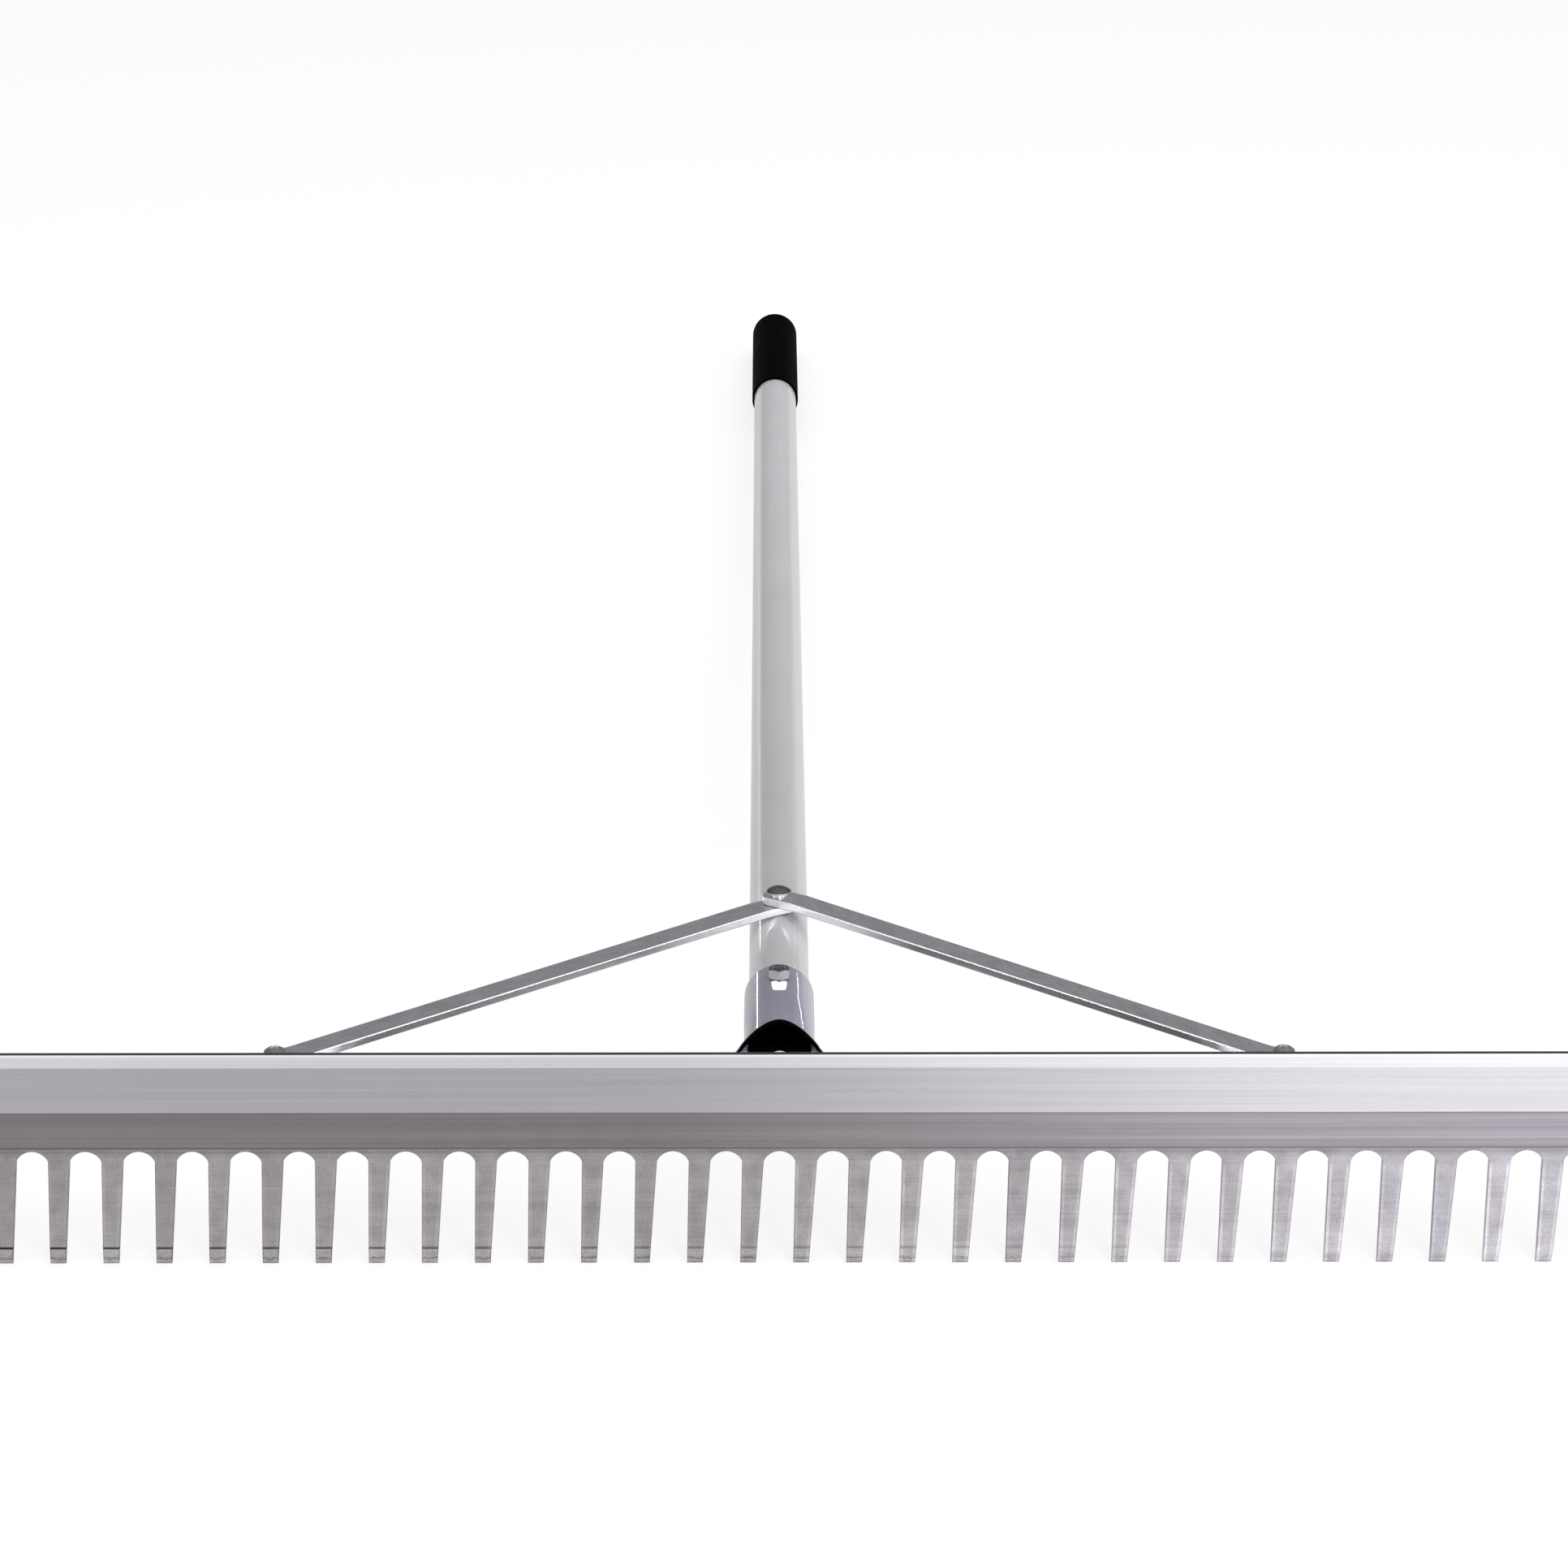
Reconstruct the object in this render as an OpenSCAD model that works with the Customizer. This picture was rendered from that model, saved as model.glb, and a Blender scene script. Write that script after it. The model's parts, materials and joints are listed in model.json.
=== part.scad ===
// Landscape rake: an extruded aluminium head with cut tines, a tube handle in a pressed ferrule,
// and two flat braces. All sizes are in millimetres.
// The pieces are drawn in the tool's own frame, with the handle's axis along +Y, the tines down
// and the front of the blade at Y = 0. The whole rake is then laid on the floor, on its tine tips
// and the end of its grip.

/* [Head] */
// Width of the head, end to end
head_w = 914.4; // [800:0.1:1000]
// Number of tines
tine_count = 36; // [28:2:40]
// Length of a tine, from the top of the root arc to the tip
tine_l = 58.6; // [45:0.1:70]
// Width of a tine where the root arc ends
tine_root_w = 10.5; // [9:0.1:12]
// Width of a tine at its tip
tine_tip_w = 7.6; // [6:0.1:9]
// How far a tip lies to the left of its root, so that the right flank takes most of the taper
tine_lean = 2.5; // [0:0.1:3]
// Height of the arc between two tines
root_rise = 5.3; // [4:0.1:7]
// Blade left above the root arcs
root_land = 1.2; // [0.6:0.1:4]
// Thickness of the blade that the tines are cut from
blade_t = 4; // [3.5:0.1:5]
// Length of the bevel on the front of each tip
tip_bevel_l = 8.5; // [6:0.1:12]
// Depth of that bevel
tip_bevel_d = 0.9; // [0.4:0.1:1.2]
// Length of the steeper edge at the very tip
tip_edge_l = 2.7; // [1.5:0.1:4]
// Depth of that edge
tip_edge_d = 0.8; // [0.4:0.1:1]
// How far the front face stands ahead of the blade
nose_d = 8; // [6:0.1:11]
// Height of the front face
face_h = 22.9; // [18:0.1:28]
// Height of the slope from the front face back to the blade
slope_h = 21.8; // [16:0.1:28]
// Size of the sloped edge along the top of the front face
lip_chamfer = 5.1; // [3:0.1:6]
// Flat top of the lip behind that edge
lip_land = 2.7; // [1:0.1:3]
// Height of the lip above the flange
lip_h = 11.5; // [8:0.1:14]
// Wall behind the front face and the slope
wall_t = 4; // [3:0.1:5]
// Depth of the flange, from the front of the blade
flange_d = 30; // [27:0.5:31]
// Thickness of the flange
flange_t = 4; // [3:0.1:6]
// Flange top below the handle's axis
flange_drop = 2; // [0:0.1:5]
// Radius of the inner corners of the extrusion
corner_r = 2; // [0.5:0.1:3]
// Row of screw holes in the flange, from the front of the blade
flange_hole_y = 15.5; // [14:0.5:18]

/* [Handle] */
// Outer diameter of the tube
tube_d = 30; // [26:0.1:34]
// Wall of the tube
tube_wall = 1.5; // [1:0.1:3]
// Length of the tube
tube_l = 1555; // [1200:1:1800]

/* [Grip] */
// Outer diameter of the grip
grip_d = 33.2; // [32:0.1:38]
// Length of the grip
grip_l = 219; // [120:1:300]
// Thickness of the grip's closed end
grip_end_t = 3; // [2:0.1:6]
// Radius of the grip's rounded end edge
grip_end_r = 5; // [2:0.1:8]
// Radius of the bead at the grip's mouth
grip_bead_r = 1; // [0.6:0.1:1.4]

/* [Ferrule] */
// Wall of the ferrule
ferrule_wall = 2.3; // [1.5:0.1:2.5]
// From the front of the blade to the ferrule's rim
ferrule_rim_y = 105; // [95:1:130]
// Length of the round sleeve
sleeve_l = 43; // [36:1:50]
// From the front of the blade to the ferrule's mouth
mouth_y = 25; // [23:0.5:28]
// From the front of the blade to the front of the tongue
tongue_front_y = 5; // [2:0.5:6]
// Width of the arch where it stands on the flange
arch_w = 46; // [44:0.5:52]
// How square the shoulders of the arch are
arch_power = 1.8; // [1.5:0.05:2.2]
// How late the arch widens towards the mouth
flare_power = 3; // [1:0.5:4]
// Radius of the tongue's front corners
tongue_corner_r = 6; // [3:0.5:8]
// From the rim to the ferrule's bolt
ferrule_bolt_from_rim = 19; // [14:0.5:24]

/* [Braces] */
// Width of the flat bar
brace_w = 16; // [13:0.5:17]
// Thickness of the flat bar
brace_t = 4; // [3:0.1:5]
// From a screw's centre to the round end of the bar
brace_end = 8.8; // [8.6:0.1:10]
// Length of the flat tab, from a screw's centre to the bend
brace_tab_l = 13; // [11:0.5:18]
// From the front of the blade to the bolt that joins both braces to the handle
joint_y = 197.5; // [160:0.5:240]
// Distance between the two brace screws on the flange
brace_spread = 488; // [400:1:600]

/* [Fasteners] */
// Thread diameter of all bolts and screws
thread_d = 6; // [5:0.1:6.2]
// Nuts and hex heads, across the flats
hex_af = 10; // [9.5:0.1:10.5]
// Thickness of a nut
nut_t = 5; // [4:0.1:6]
// Height of the ferrule bolt's hex head
hex_head_h = 4; // [3:0.1:5]
// Diameter of the flange screws' round heads
button_d = 11; // [9.5:0.1:12]
// Height of the round top of such a head
button_h = 2.5; // [2:0.1:4]
// Height of the cone under that top, on a brace
button_neck_h = 2.6; // [1:0.1:3]
// Height of that cone on the ferrule's tongue, where it is set deeper
tongue_neck_h = 1.2; // [0.5:0.1:3]
// Diameter of the round head on the brace bolt
dome_d = 13.2; // [12:0.1:15]
// Height of the round top of that head
dome_h = 2.5; // [2:0.1:5]
// Height of the cone under that top
dome_neck_h = 2.4; // [1:0.1:3]
// Diameter of all these cones where they stand on their seats
neck_d = 7.6; // [7.2:0.1:9]
// Outer diameter of a washer
washer_d = 12; // [11.5:0.1:14]
// Thickness of a washer
washer_t = 1.6; // [1:0.1:2]
// Thread showing past a nut
thread_end = 2; // [1:0.1:4]
// Thread showing past the ferrule's nut
ferrule_thread_end = 0.5; // [0.3:0.1:4]

/* [Fits] */
// Gap round the tube, in the ferrule and in the grip
tube_gap = 0.1; // [0.05:0.01:0.2]
// Gap between the tube's end and the pressed part of the ferrule
tube_stop_gap = 1; // [0.5:0.1:4]
// Flat bottom of the ferrule behind the flange
press_clear = 2; // [1:0.5:4]
// Gap round a thread in a hole
hole_gap = 0.2; // [0.1:0.05:0.4]
// Gap between a nut and its thread
thread_gap = 0.05; // [0.02:0.01:0.1]
// Gap where a flat face seats on a round one
seat_gap = 0.05; // [0.02:0.01:0.1]

/* [Hidden] */
$fn = 64;

// How far cuts run past the faces that they open
overrun = 2;
// How deep the pressed shell is set into the wall of the sleeve, and how far it reaches along it
weld_d = 0.15;
weld_l = 2;
// Points round the pressed shell, those from the middle of its flat bottom to a corner, and the
// rings along its two stretches
ring_points = 48;
flat_points = 11;
press_rings = 10;
flare_rings = 3;
flat_share = 2 * flat_points / ring_points;

// Heights of the head's profile
flange_top = -flange_drop;
flange_bottom = flange_top - flange_t;
lip_top = flange_top + lip_h;
face_top = lip_top - lip_chamfer;
face_bottom = face_top - face_h;
slope_bottom = face_bottom - slope_h;
root_top = slope_bottom - root_land;
spring_z = root_top - root_rise;
tip_z = root_top - tine_l;
// Depths of the head's profile
face_y = -nose_d;
lip_back_y = face_y + lip_chamfer + lip_land;
wall_back_y = face_y + wall_t;
// An inner corner lies this much higher than its outer one where the wall turns into the slope
turn_rise = wall_t * tan(atan2(nose_d, slope_h) / 2);

// Tines and the gaps between them
pitch = (head_w - tine_root_w) / (tine_count - 1);
gap_top_w = pitch - tine_root_w;
gap_tip_w = pitch - tine_tip_w;
root_r = (gap_top_w * gap_top_w / 4 + root_rise * root_rise) / (2 * root_rise);

// Handle, grip and ferrule
tube_r = tube_d / 2;
sleeve_start_y = ferrule_rim_y - sleeve_l;
tube_start_y = sleeve_start_y + tube_stop_gap;
tube_end_y = tube_start_y + tube_l;
grip_r = grip_d / 2;
grip_end_y = tube_end_y + tube_gap + grip_end_t;
grip_mouth_y = grip_end_y - grip_l;
sleeve_bore_r = tube_r + tube_gap;
sleeve_r = sleeve_bore_r + ferrule_wall;
press_end_y = flange_d + press_clear;
press_l = sleeve_start_y - press_end_y;
flare_l = sleeve_start_y - mouth_y;
ferrule_bolt_y = ferrule_rim_y - ferrule_bolt_from_rim;
tongue_top = flange_top + ferrule_wall;

// Braces: plan length and direction from the joint bolt to the flange screw
brace_reach_x = brace_spread / 2;
brace_reach_y = joint_y - flange_hole_y;
brace_l = norm([brace_reach_x, brace_reach_y]);
brace_angle = atan2(brace_reach_y, brace_reach_x);
joint_seat_z = tube_r + seat_gap;
brace_seat_z = flange_top + brace_t;

// Fasteners
hole_r = thread_d / 2 + hole_gap;
nut_bore_r = thread_d / 2 + thread_gap;
hex_r = hex_af / 2 / cos(180 / 6);
under_flange_z = flange_bottom - washer_t;
flange_screw_end_z = under_flange_z - nut_t - thread_end;
under_tube_z = -tube_r - seat_gap - washer_t;
joint_top_z = joint_seat_z + 2 * brace_t;
ferrule_nut_z = sleeve_r + seat_gap;

// The rake lies on the back edge of its tips and on the round edge of the grip's end
lay_rise = -tip_z - grip_r + grip_end_r;
lay_run = grip_end_y - grip_end_r - blade_t;
lay_angle = acos(grip_end_r / norm([lay_rise, lay_run])) - atan2(lay_run, lay_rise);
lift_z = blade_t * sin(lay_angle) - tip_z * cos(lay_angle);
front_y = face_y * cos(lay_angle) + face_bottom * sin(lay_angle);
back_y = (grip_end_y - grip_end_r) * cos(lay_angle)
    + (grip_r - grip_end_r) * sin(lay_angle) + grip_end_r;
mid_y = (front_y + back_y) / 2;

// Puts what is drawn in the tool's frame on the floor, over the middle of the base
module laid() {
    translate([0, -mid_y, lift_z])
        rotate([-lay_angle, 0, 0])
            children();
}

// Turns a shape along +Z into one along the handle
module along_handle(y) {
    translate([0, y, 0])
        rotate([-90, 0, 0])
            children();
}

// Fillet in an inner corner that opens to the upper right, with a root in the walls on both sides
module inner_corner(r) {
    difference() {
        square(2 * r, center = true);
        translate([r, r])
            circle(r);
    }
}

// Cross section of the head's extrusion, depth across and height up
module head_profile() {
    polygon([
        [face_y, face_top],
        [face_y + lip_chamfer, lip_top],
        [lip_back_y, lip_top],
        [lip_back_y, flange_top],
        [flange_d, flange_top],
        [flange_d, flange_bottom],
        [wall_back_y, flange_bottom],
        [wall_back_y, face_bottom + turn_rise],
        [blade_t, slope_bottom + turn_rise],
        [blade_t, tip_z],
        [tip_bevel_d + tip_edge_d, tip_z],
        [tip_bevel_d, tip_z + tip_edge_l],
        [0, tip_z + tip_bevel_l],
        [0, slope_bottom],
        [face_y, face_bottom]
    ]);
}

// Puts a shape of the head's cross section along the whole width
module along_head() {
    rotate([90, 0, 90])
        linear_extrude(head_w, center = true)
            children();
}

// The extrusion before any cut, with fillets above and below the root of the flange
module head_bar() {
    along_head()
        head_profile();
    along_head()
        translate([lip_back_y, flange_top])
            inner_corner(corner_r);
    along_head()
        translate([wall_back_y, flange_bottom])
            mirror([0, 1])
                inner_corner(corner_r);
}

// Outline of one gap between two tines, about the gap's middle at its top
module tine_gap() {
    intersection() {
        translate([0, root_top - root_r])
            circle(root_r);
        translate([-gap_top_w / 2, spring_z])
            square([gap_top_w, root_rise]);
    }
    polygon([
        [-gap_top_w / 2, spring_z],
        [gap_top_w / 2, spring_z],
        [gap_tip_w / 2 - tine_lean, tip_z],
        [gap_tip_w / 2 - tine_lean, tip_z - overrun],
        [-gap_tip_w / 2 - tine_lean, tip_z - overrun],
        [-gap_tip_w / 2 - tine_lean, tip_z]
    ]);
}

// Hole for a thread through whatever lies between two heights
module thread_hole(low, high) {
    translate([0, 0, low - overrun])
        cylinder(h = high - low + 2 * overrun, r = hole_r);
}

// Puts children at the three screw places on the flange
module at_flange_holes() {
    for (side = [-1, 0, 1])
        translate([side * brace_spread / 2, flange_hole_y, 0])
            children();
}

module rake_head() {
    color("silver") laid()
        difference() {
            head_bar();
            for (i = [1 : tine_count - 1])
                translate([(i - tine_count / 2) * pitch, blade_t + overrun, 0])
                    rotate([90, 0, 0])
                        linear_extrude(blade_t + 2 * overrun)
                            tine_gap();
            at_flange_holes()
                thread_hole(flange_bottom, flange_top);
        }
}

module handle_tube() {
    color("gainsboro") laid()
        difference() {
            along_handle(tube_start_y)
                difference() {
                    cylinder(h = tube_l, r = tube_r);
                    translate([0, 0, -overrun])
                        cylinder(h = tube_l + 2 * overrun, r = tube_r - tube_wall);
                }
            for (y = [ferrule_bolt_y, joint_y])
                translate([0, y, 0])
                    thread_hole(-tube_r, tube_r);
        }
}

// Half section of the grip, radius across and length up from the mouth
module grip_section() {
    difference() {
        union() {
            square([grip_r, grip_l - grip_end_r]);
            square([grip_r - grip_end_r, grip_l]);
            translate([grip_r - grip_end_r, grip_l - grip_end_r])
                intersection() {
                    circle(grip_end_r);
                    square(grip_end_r);
                }
            translate([grip_r, grip_bead_r])
                intersection() {
                    circle(grip_bead_r);
                    translate([0, -grip_bead_r])
                        square([grip_bead_r, 2 * grip_bead_r]);
                }
        }
        translate([0, -overrun])
            square([tube_r + tube_gap, grip_l - grip_end_t + overrun]);
    }
}

module handle_grip() {
    color("dimgray") laid()
        along_handle(grip_mouth_y)
            rotate_extrude()
                grip_section();
}

// Point on a round section, counted round from its lowest point
function round_point(a, r) = [r * sin(a), -r * cos(a)];

// The same point after pressing: a flat bottom, then a bell-shaped arch up to the top
function arch_point(a, w, top, bottom) =
    let (side = a <= 180 ? 1 : -1)
    let (turn_share = (a <= 180 ? a : 360 - a) / 180)
    let (x_share = turn_share < flat_share
        ? turn_share / flat_share
        : (1 - turn_share) / (1 - flat_share))
    turn_share < flat_share
        ? [side * x_share * w / 2, bottom]
        : [side * x_share * w / 2, top - (top - bottom) * pow(x_share, arch_power)];

function ease(s) = s * s * (3 - 2 * s);

// How much of a stretch that starts at the sleeve is past at a place along the handle
function past_share(y, stretch_l) = max(0, min(1, (sleeve_start_y - y) / stretch_l));

// One ring of the pressed shell: inset is the depth below the outer face
function press_ring(y, inset) =
    let (pressed_share = ease(past_share(y, press_l)))
    let (w = 2 * sleeve_r + (arch_w - 2 * sleeve_r) * pow(past_share(y, flare_l), flare_power))
    [
        for (i = [0 : ring_points - 1])
            let (a = 360 * i / ring_points)
            let (p = (1 - pressed_share) * round_point(a, sleeve_r - inset)
                + pressed_share * arch_point(a, w - 2 * inset, sleeve_r - inset, flange_top + inset))
            [p[0], y, p[1]]
    ];

// Rings from inside the sleeve's wall, over the pressed length and the flare, to the tongue's front
function press_rings_at(inset, end_inset) = [
    press_ring(sleeve_start_y + weld_l, end_inset),
    press_ring(sleeve_start_y, end_inset),
    for (k = [1 : press_rings])
        press_ring(sleeve_start_y - press_l * k / press_rings, inset),
    for (k = [1 : flare_rings])
        press_ring(press_end_y - (press_end_y - mouth_y) * k / flare_rings, inset),
    press_ring(tongue_front_y, inset)
];

// Shell between an outer and an inner stack of rings
module ring_shell(outer, inner) {
    n = ring_points;
    rows = len(outer);
    inner_start = rows * n;
    points = [
        for (ring = outer) each ring,
        for (ring = inner) each ring
    ];
    faces = [
        for (k = [0 : rows - 2], i = [0 : n - 1])
            let (j = (i + 1) % n)
            let (a = k * n)
            let (b = (k + 1) * n)
            each [[a + i, b + j, a + j], [a + i, b + i, b + j]],
        for (k = [0 : rows - 2], i = [0 : n - 1])
            let (j = (i + 1) % n)
            let (a = inner_start + k * n)
            let (b = inner_start + (k + 1) * n)
            each [[a + i, a + j, b + j], [a + i, b + j, b + i]],
        for (i = [0 : n - 1])
            let (j = (i + 1) % n)
            each [[i, j, inner_start + j], [i, inner_start + j, inner_start + i]],
        for (i = [0 : n - 1])
            let (j = (i + 1) % n)
            let (a = (rows - 1) * n)
            let (b = inner_start + (rows - 1) * n)
            each [[a + i, b + j, a + j], [a + i, b + i, b + j]]
    ];
    polyhedron(points, faces);
}

// What is cut off one front corner of the tongue
module tongue_corner(side) {
    translate([side * (arch_w / 2 - tongue_corner_r), tongue_front_y + tongue_corner_r, flange_top - overrun])
        difference() {
            translate([side > 0 ? 0 : -tongue_corner_r - overrun, -tongue_corner_r - overrun, 0])
                cube([tongue_corner_r + overrun, tongue_corner_r + overrun, ferrule_wall + 2 * overrun]);
            translate([0, 0, -overrun])
                cylinder(h = ferrule_wall + 4 * overrun, r = tongue_corner_r);
        }
}

module ferrule() {
    color("slategray") laid()
        difference() {
            union() {
                along_handle(sleeve_start_y)
                    difference() {
                        cylinder(h = sleeve_l, r = sleeve_r);
                        translate([0, 0, -overrun])
                            cylinder(h = sleeve_l + 2 * overrun, r = sleeve_bore_r);
                    }
                ring_shell(press_rings_at(0, weld_d), press_rings_at(ferrule_wall, ferrule_wall - weld_d));
            }
            translate([-arch_w, tongue_front_y - overrun, tongue_top])
                cube([2 * arch_w, mouth_y - tongue_front_y + overrun, sleeve_r + overrun]);
            for (side = [-1, 1])
                tongue_corner(side);
            translate([0, flange_hole_y, 0])
                thread_hole(flange_top, tongue_top);
            translate([0, ferrule_bolt_y, 0])
                thread_hole(-sleeve_r, sleeve_r);
        }
}

// Side view of a brace, length from the joint bolt across and height up
module brace_side(joint_z) {
    polygon([
        [-brace_end - overrun, joint_z],
        [brace_tab_l, joint_z],
        [brace_l - brace_tab_l, flange_top],
        [brace_l + brace_end + overrun, flange_top],
        [brace_l + brace_end + overrun, flange_top + brace_t],
        [brace_l - brace_tab_l, flange_top + brace_t],
        [brace_tab_l, joint_z + brace_t],
        [-brace_end - overrun, joint_z + brace_t]
    ]);
}

// Plan view of a brace with its round ends and screw holes
module brace_plan() {
    end_x = brace_end - brace_w / 2;
    difference() {
        union() {
            translate([-end_x, -brace_w / 2])
                square([brace_l + 2 * end_x, brace_w]);
            for (x = [-end_x, brace_l + end_x])
                translate([x, 0])
                    circle(brace_w / 2);
        }
        for (x = [0, brace_l])
            translate([x, 0])
                circle(hole_r);
    }
}

// A brace that runs from the joint bolt towards +X, with its upper tab at the given height
module brace(joint_z) {
    translate([0, joint_y, 0])
        rotate([0, 0, -brace_angle])
            intersection() {
                rotate([90, 0, 0])
                    linear_extrude(brace_w + 2 * overrun, center = true)
                        brace_side(joint_z);
                translate([0, 0, flange_top - overrun])
                    linear_extrude(joint_z + brace_t - flange_top + 2 * overrun)
                        brace_plan();
            }
}

module left_brace() {
    color("lightgray") laid()
        mirror([1, 0, 0])
            brace(joint_seat_z);
}

module right_brace() {
    color("lightgray") laid()
        brace(joint_seat_z + brace_t);
}

// Round head on a cone that stands on its seat at height zero
module round_head(d, h, neck_h) {
    ball_r = (d * d / 4 + h * h) / (2 * h);
    cylinder(h = neck_h, d1 = neck_d, d2 = d);
    translate([0, 0, neck_h])
        intersection() {
            translate([0, 0, h - ball_r])
                sphere(ball_r);
            cylinder(h = h, d = d);
        }
}

// Screw with a round head on a seat at the first height, and its thread down to the second
module round_screw(d, h, neck_h, seat_z, end_z) {
    translate([0, 0, seat_z])
        round_head(d, h, neck_h);
    translate([0, 0, end_z])
        cylinder(h = seat_z - end_z, d = thread_d);
}

// Hex shape with a corner towards the front
module hex_prism(h) {
    rotate(360 / 12)
        cylinder(h = h, r = hex_r, $fn = 6);
}

module nut(z) {
    translate([0, 0, z])
        difference() {
            hex_prism(nut_t);
            translate([0, 0, -overrun])
                cylinder(h = nut_t + 2 * overrun, r = nut_bore_r);
        }
}

module washer(z) {
    translate([0, 0, z])
        difference() {
            cylinder(h = washer_t, d = washer_d);
            translate([0, 0, -overrun])
                cylinder(h = washer_t + 2 * overrun, r = hole_r);
        }
}

module brace_joint_bolt() {
    color("whitesmoke") laid()
        translate([0, joint_y, 0])
            round_screw(dome_d, dome_h, dome_neck_h, joint_top_z, under_tube_z - nut_t - thread_end);
}

module brace_joint_washer() {
    color("whitesmoke") laid()
        translate([0, joint_y, 0])
            washer(under_tube_z);
}

module brace_joint_nut() {
    color("whitesmoke") laid()
        translate([0, joint_y, 0])
            nut(under_tube_z - nut_t);
}

module ferrule_bolt() {
    color("whitesmoke") laid()
        translate([0, ferrule_bolt_y, 0]) {
            translate([0, 0, -ferrule_nut_z - hex_head_h])
                hex_prism(hex_head_h);
            translate([0, 0, -ferrule_nut_z - hex_head_h / 2])
                cylinder(h = hex_head_h / 2 + 2 * ferrule_nut_z + nut_t + ferrule_thread_end, d = thread_d);
        }
}

module ferrule_nut() {
    color("whitesmoke") laid()
        translate([0, ferrule_bolt_y, 0])
            nut(ferrule_nut_z);
}

// The three flange screws, with their washers and nuts: side is -1, 0 or 1
module flange_screw(side, neck_h, seat_z) {
    color("whitesmoke") laid()
        translate([side * brace_spread / 2, flange_hole_y, 0])
            round_screw(button_d, button_h, neck_h, seat_z, flange_screw_end_z);
}

module flange_washer(side) {
    color("whitesmoke") laid()
        translate([side * brace_spread / 2, flange_hole_y, 0])
            washer(under_flange_z);
}

module flange_nut(side) {
    color("whitesmoke") laid()
        translate([side * brace_spread / 2, flange_hole_y, 0])
            nut(under_flange_z - nut_t);
}

module tongue_screw() { flange_screw(0, tongue_neck_h, tongue_top); }
module tongue_washer() { flange_washer(0); }
module tongue_nut() { flange_nut(0); }
module left_brace_screw() { flange_screw(-1, button_neck_h, brace_seat_z); }
module left_brace_washer() { flange_washer(-1); }
module left_brace_nut() { flange_nut(-1); }
module right_brace_screw() { flange_screw(1, button_neck_h, brace_seat_z); }
module right_brace_washer() { flange_washer(1); }
module right_brace_nut() { flange_nut(1); }

rake_head();
handle_tube();
handle_grip();
ferrule();
left_brace();
right_brace();
brace_joint_bolt();
brace_joint_washer();
brace_joint_nut();
ferrule_bolt();
ferrule_nut();
tongue_screw();
tongue_washer();
tongue_nut();
left_brace_screw();
left_brace_washer();
left_brace_nut();
right_brace_screw();
right_brace_washer();
right_brace_nut();
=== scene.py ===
import json
import math
import bpy
from mathutils import Matrix, Quaternion, Vector


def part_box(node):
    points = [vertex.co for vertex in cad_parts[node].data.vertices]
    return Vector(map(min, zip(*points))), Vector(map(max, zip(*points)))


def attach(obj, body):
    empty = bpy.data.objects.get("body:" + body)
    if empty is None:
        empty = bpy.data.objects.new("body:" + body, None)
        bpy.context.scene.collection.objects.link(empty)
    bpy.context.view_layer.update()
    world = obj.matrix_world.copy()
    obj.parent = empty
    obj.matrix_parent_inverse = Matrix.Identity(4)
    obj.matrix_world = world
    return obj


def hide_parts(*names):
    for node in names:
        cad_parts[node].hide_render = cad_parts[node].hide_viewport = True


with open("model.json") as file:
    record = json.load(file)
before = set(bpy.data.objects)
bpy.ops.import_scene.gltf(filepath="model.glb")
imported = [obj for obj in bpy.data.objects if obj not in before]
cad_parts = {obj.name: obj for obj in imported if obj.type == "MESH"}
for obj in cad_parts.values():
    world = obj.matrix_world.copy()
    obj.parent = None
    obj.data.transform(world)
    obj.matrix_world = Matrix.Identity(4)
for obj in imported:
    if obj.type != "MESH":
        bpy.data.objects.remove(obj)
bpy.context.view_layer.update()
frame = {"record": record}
print("frame loaded")

# the rake is modelled with its handle along +Y and the front of its blade at y 0, then laid on the floor
gripMount = [mount for mount in frame["record"]["mounts"] if mount["name"] == "grip_end"][0]
layAngle = math.asin(-gripMount["axis"][2])
overrun = 0.002  # how far cutters run past a face
holeRadius = 0.0032  # through holes for the 6 mm fasteners
holeSeam = 0.006  # on round pieces a hole is cut between two mesh lines this far from it
drillTurn = 0.035  # keeps a hole's corners off the lines of the mesh that it cuts
sharpAngle = 0.3  # faces that turn more than this have an edge between them
mergeGap = 1e-6
slack = 1e-5  # in tests on places


def arc(middle, radius, start, end, steps):
    angles = [start + (end - start) * step / steps for step in range(steps + 1)]
    return [(middle[0] + radius * math.cos(a), middle[1] + radius * math.sin(a)) for a in angles]


# small helpers for work by operators

def clearPick():
    if bpy.context.object and bpy.context.object.mode != "OBJECT":
        bpy.ops.object.mode_set(mode="OBJECT")
    bpy.ops.object.select_all(action="DESELECT")


def pick(piece):
    clearPick()
    piece.select_set(True)
    bpy.context.view_layer.objects.active = piece


def editAll(piece):
    pick(piece)
    bpy.ops.object.mode_set(mode="EDIT")
    bpy.ops.mesh.select_all(action="SELECT")


# leaves no part of the mesh selected, so that code can select some by their place
def clearParts(piece, kind):
    pick(piece)
    bpy.ops.object.mode_set(mode="EDIT")
    bpy.ops.mesh.select_mode(type=kind)
    bpy.ops.mesh.select_all(action="DESELECT")
    bpy.ops.object.mode_set(mode="OBJECT")


def outlineSheet(name, corners):
    clearPick()
    bpy.ops.mesh.primitive_circle_add(vertices=len(corners), radius=1, fill_type="NGON")
    piece = bpy.context.object
    piece.name = name
    for vertex, corner in zip(piece.data.vertices, corners):
        vertex.co = corner
    return piece


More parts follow.
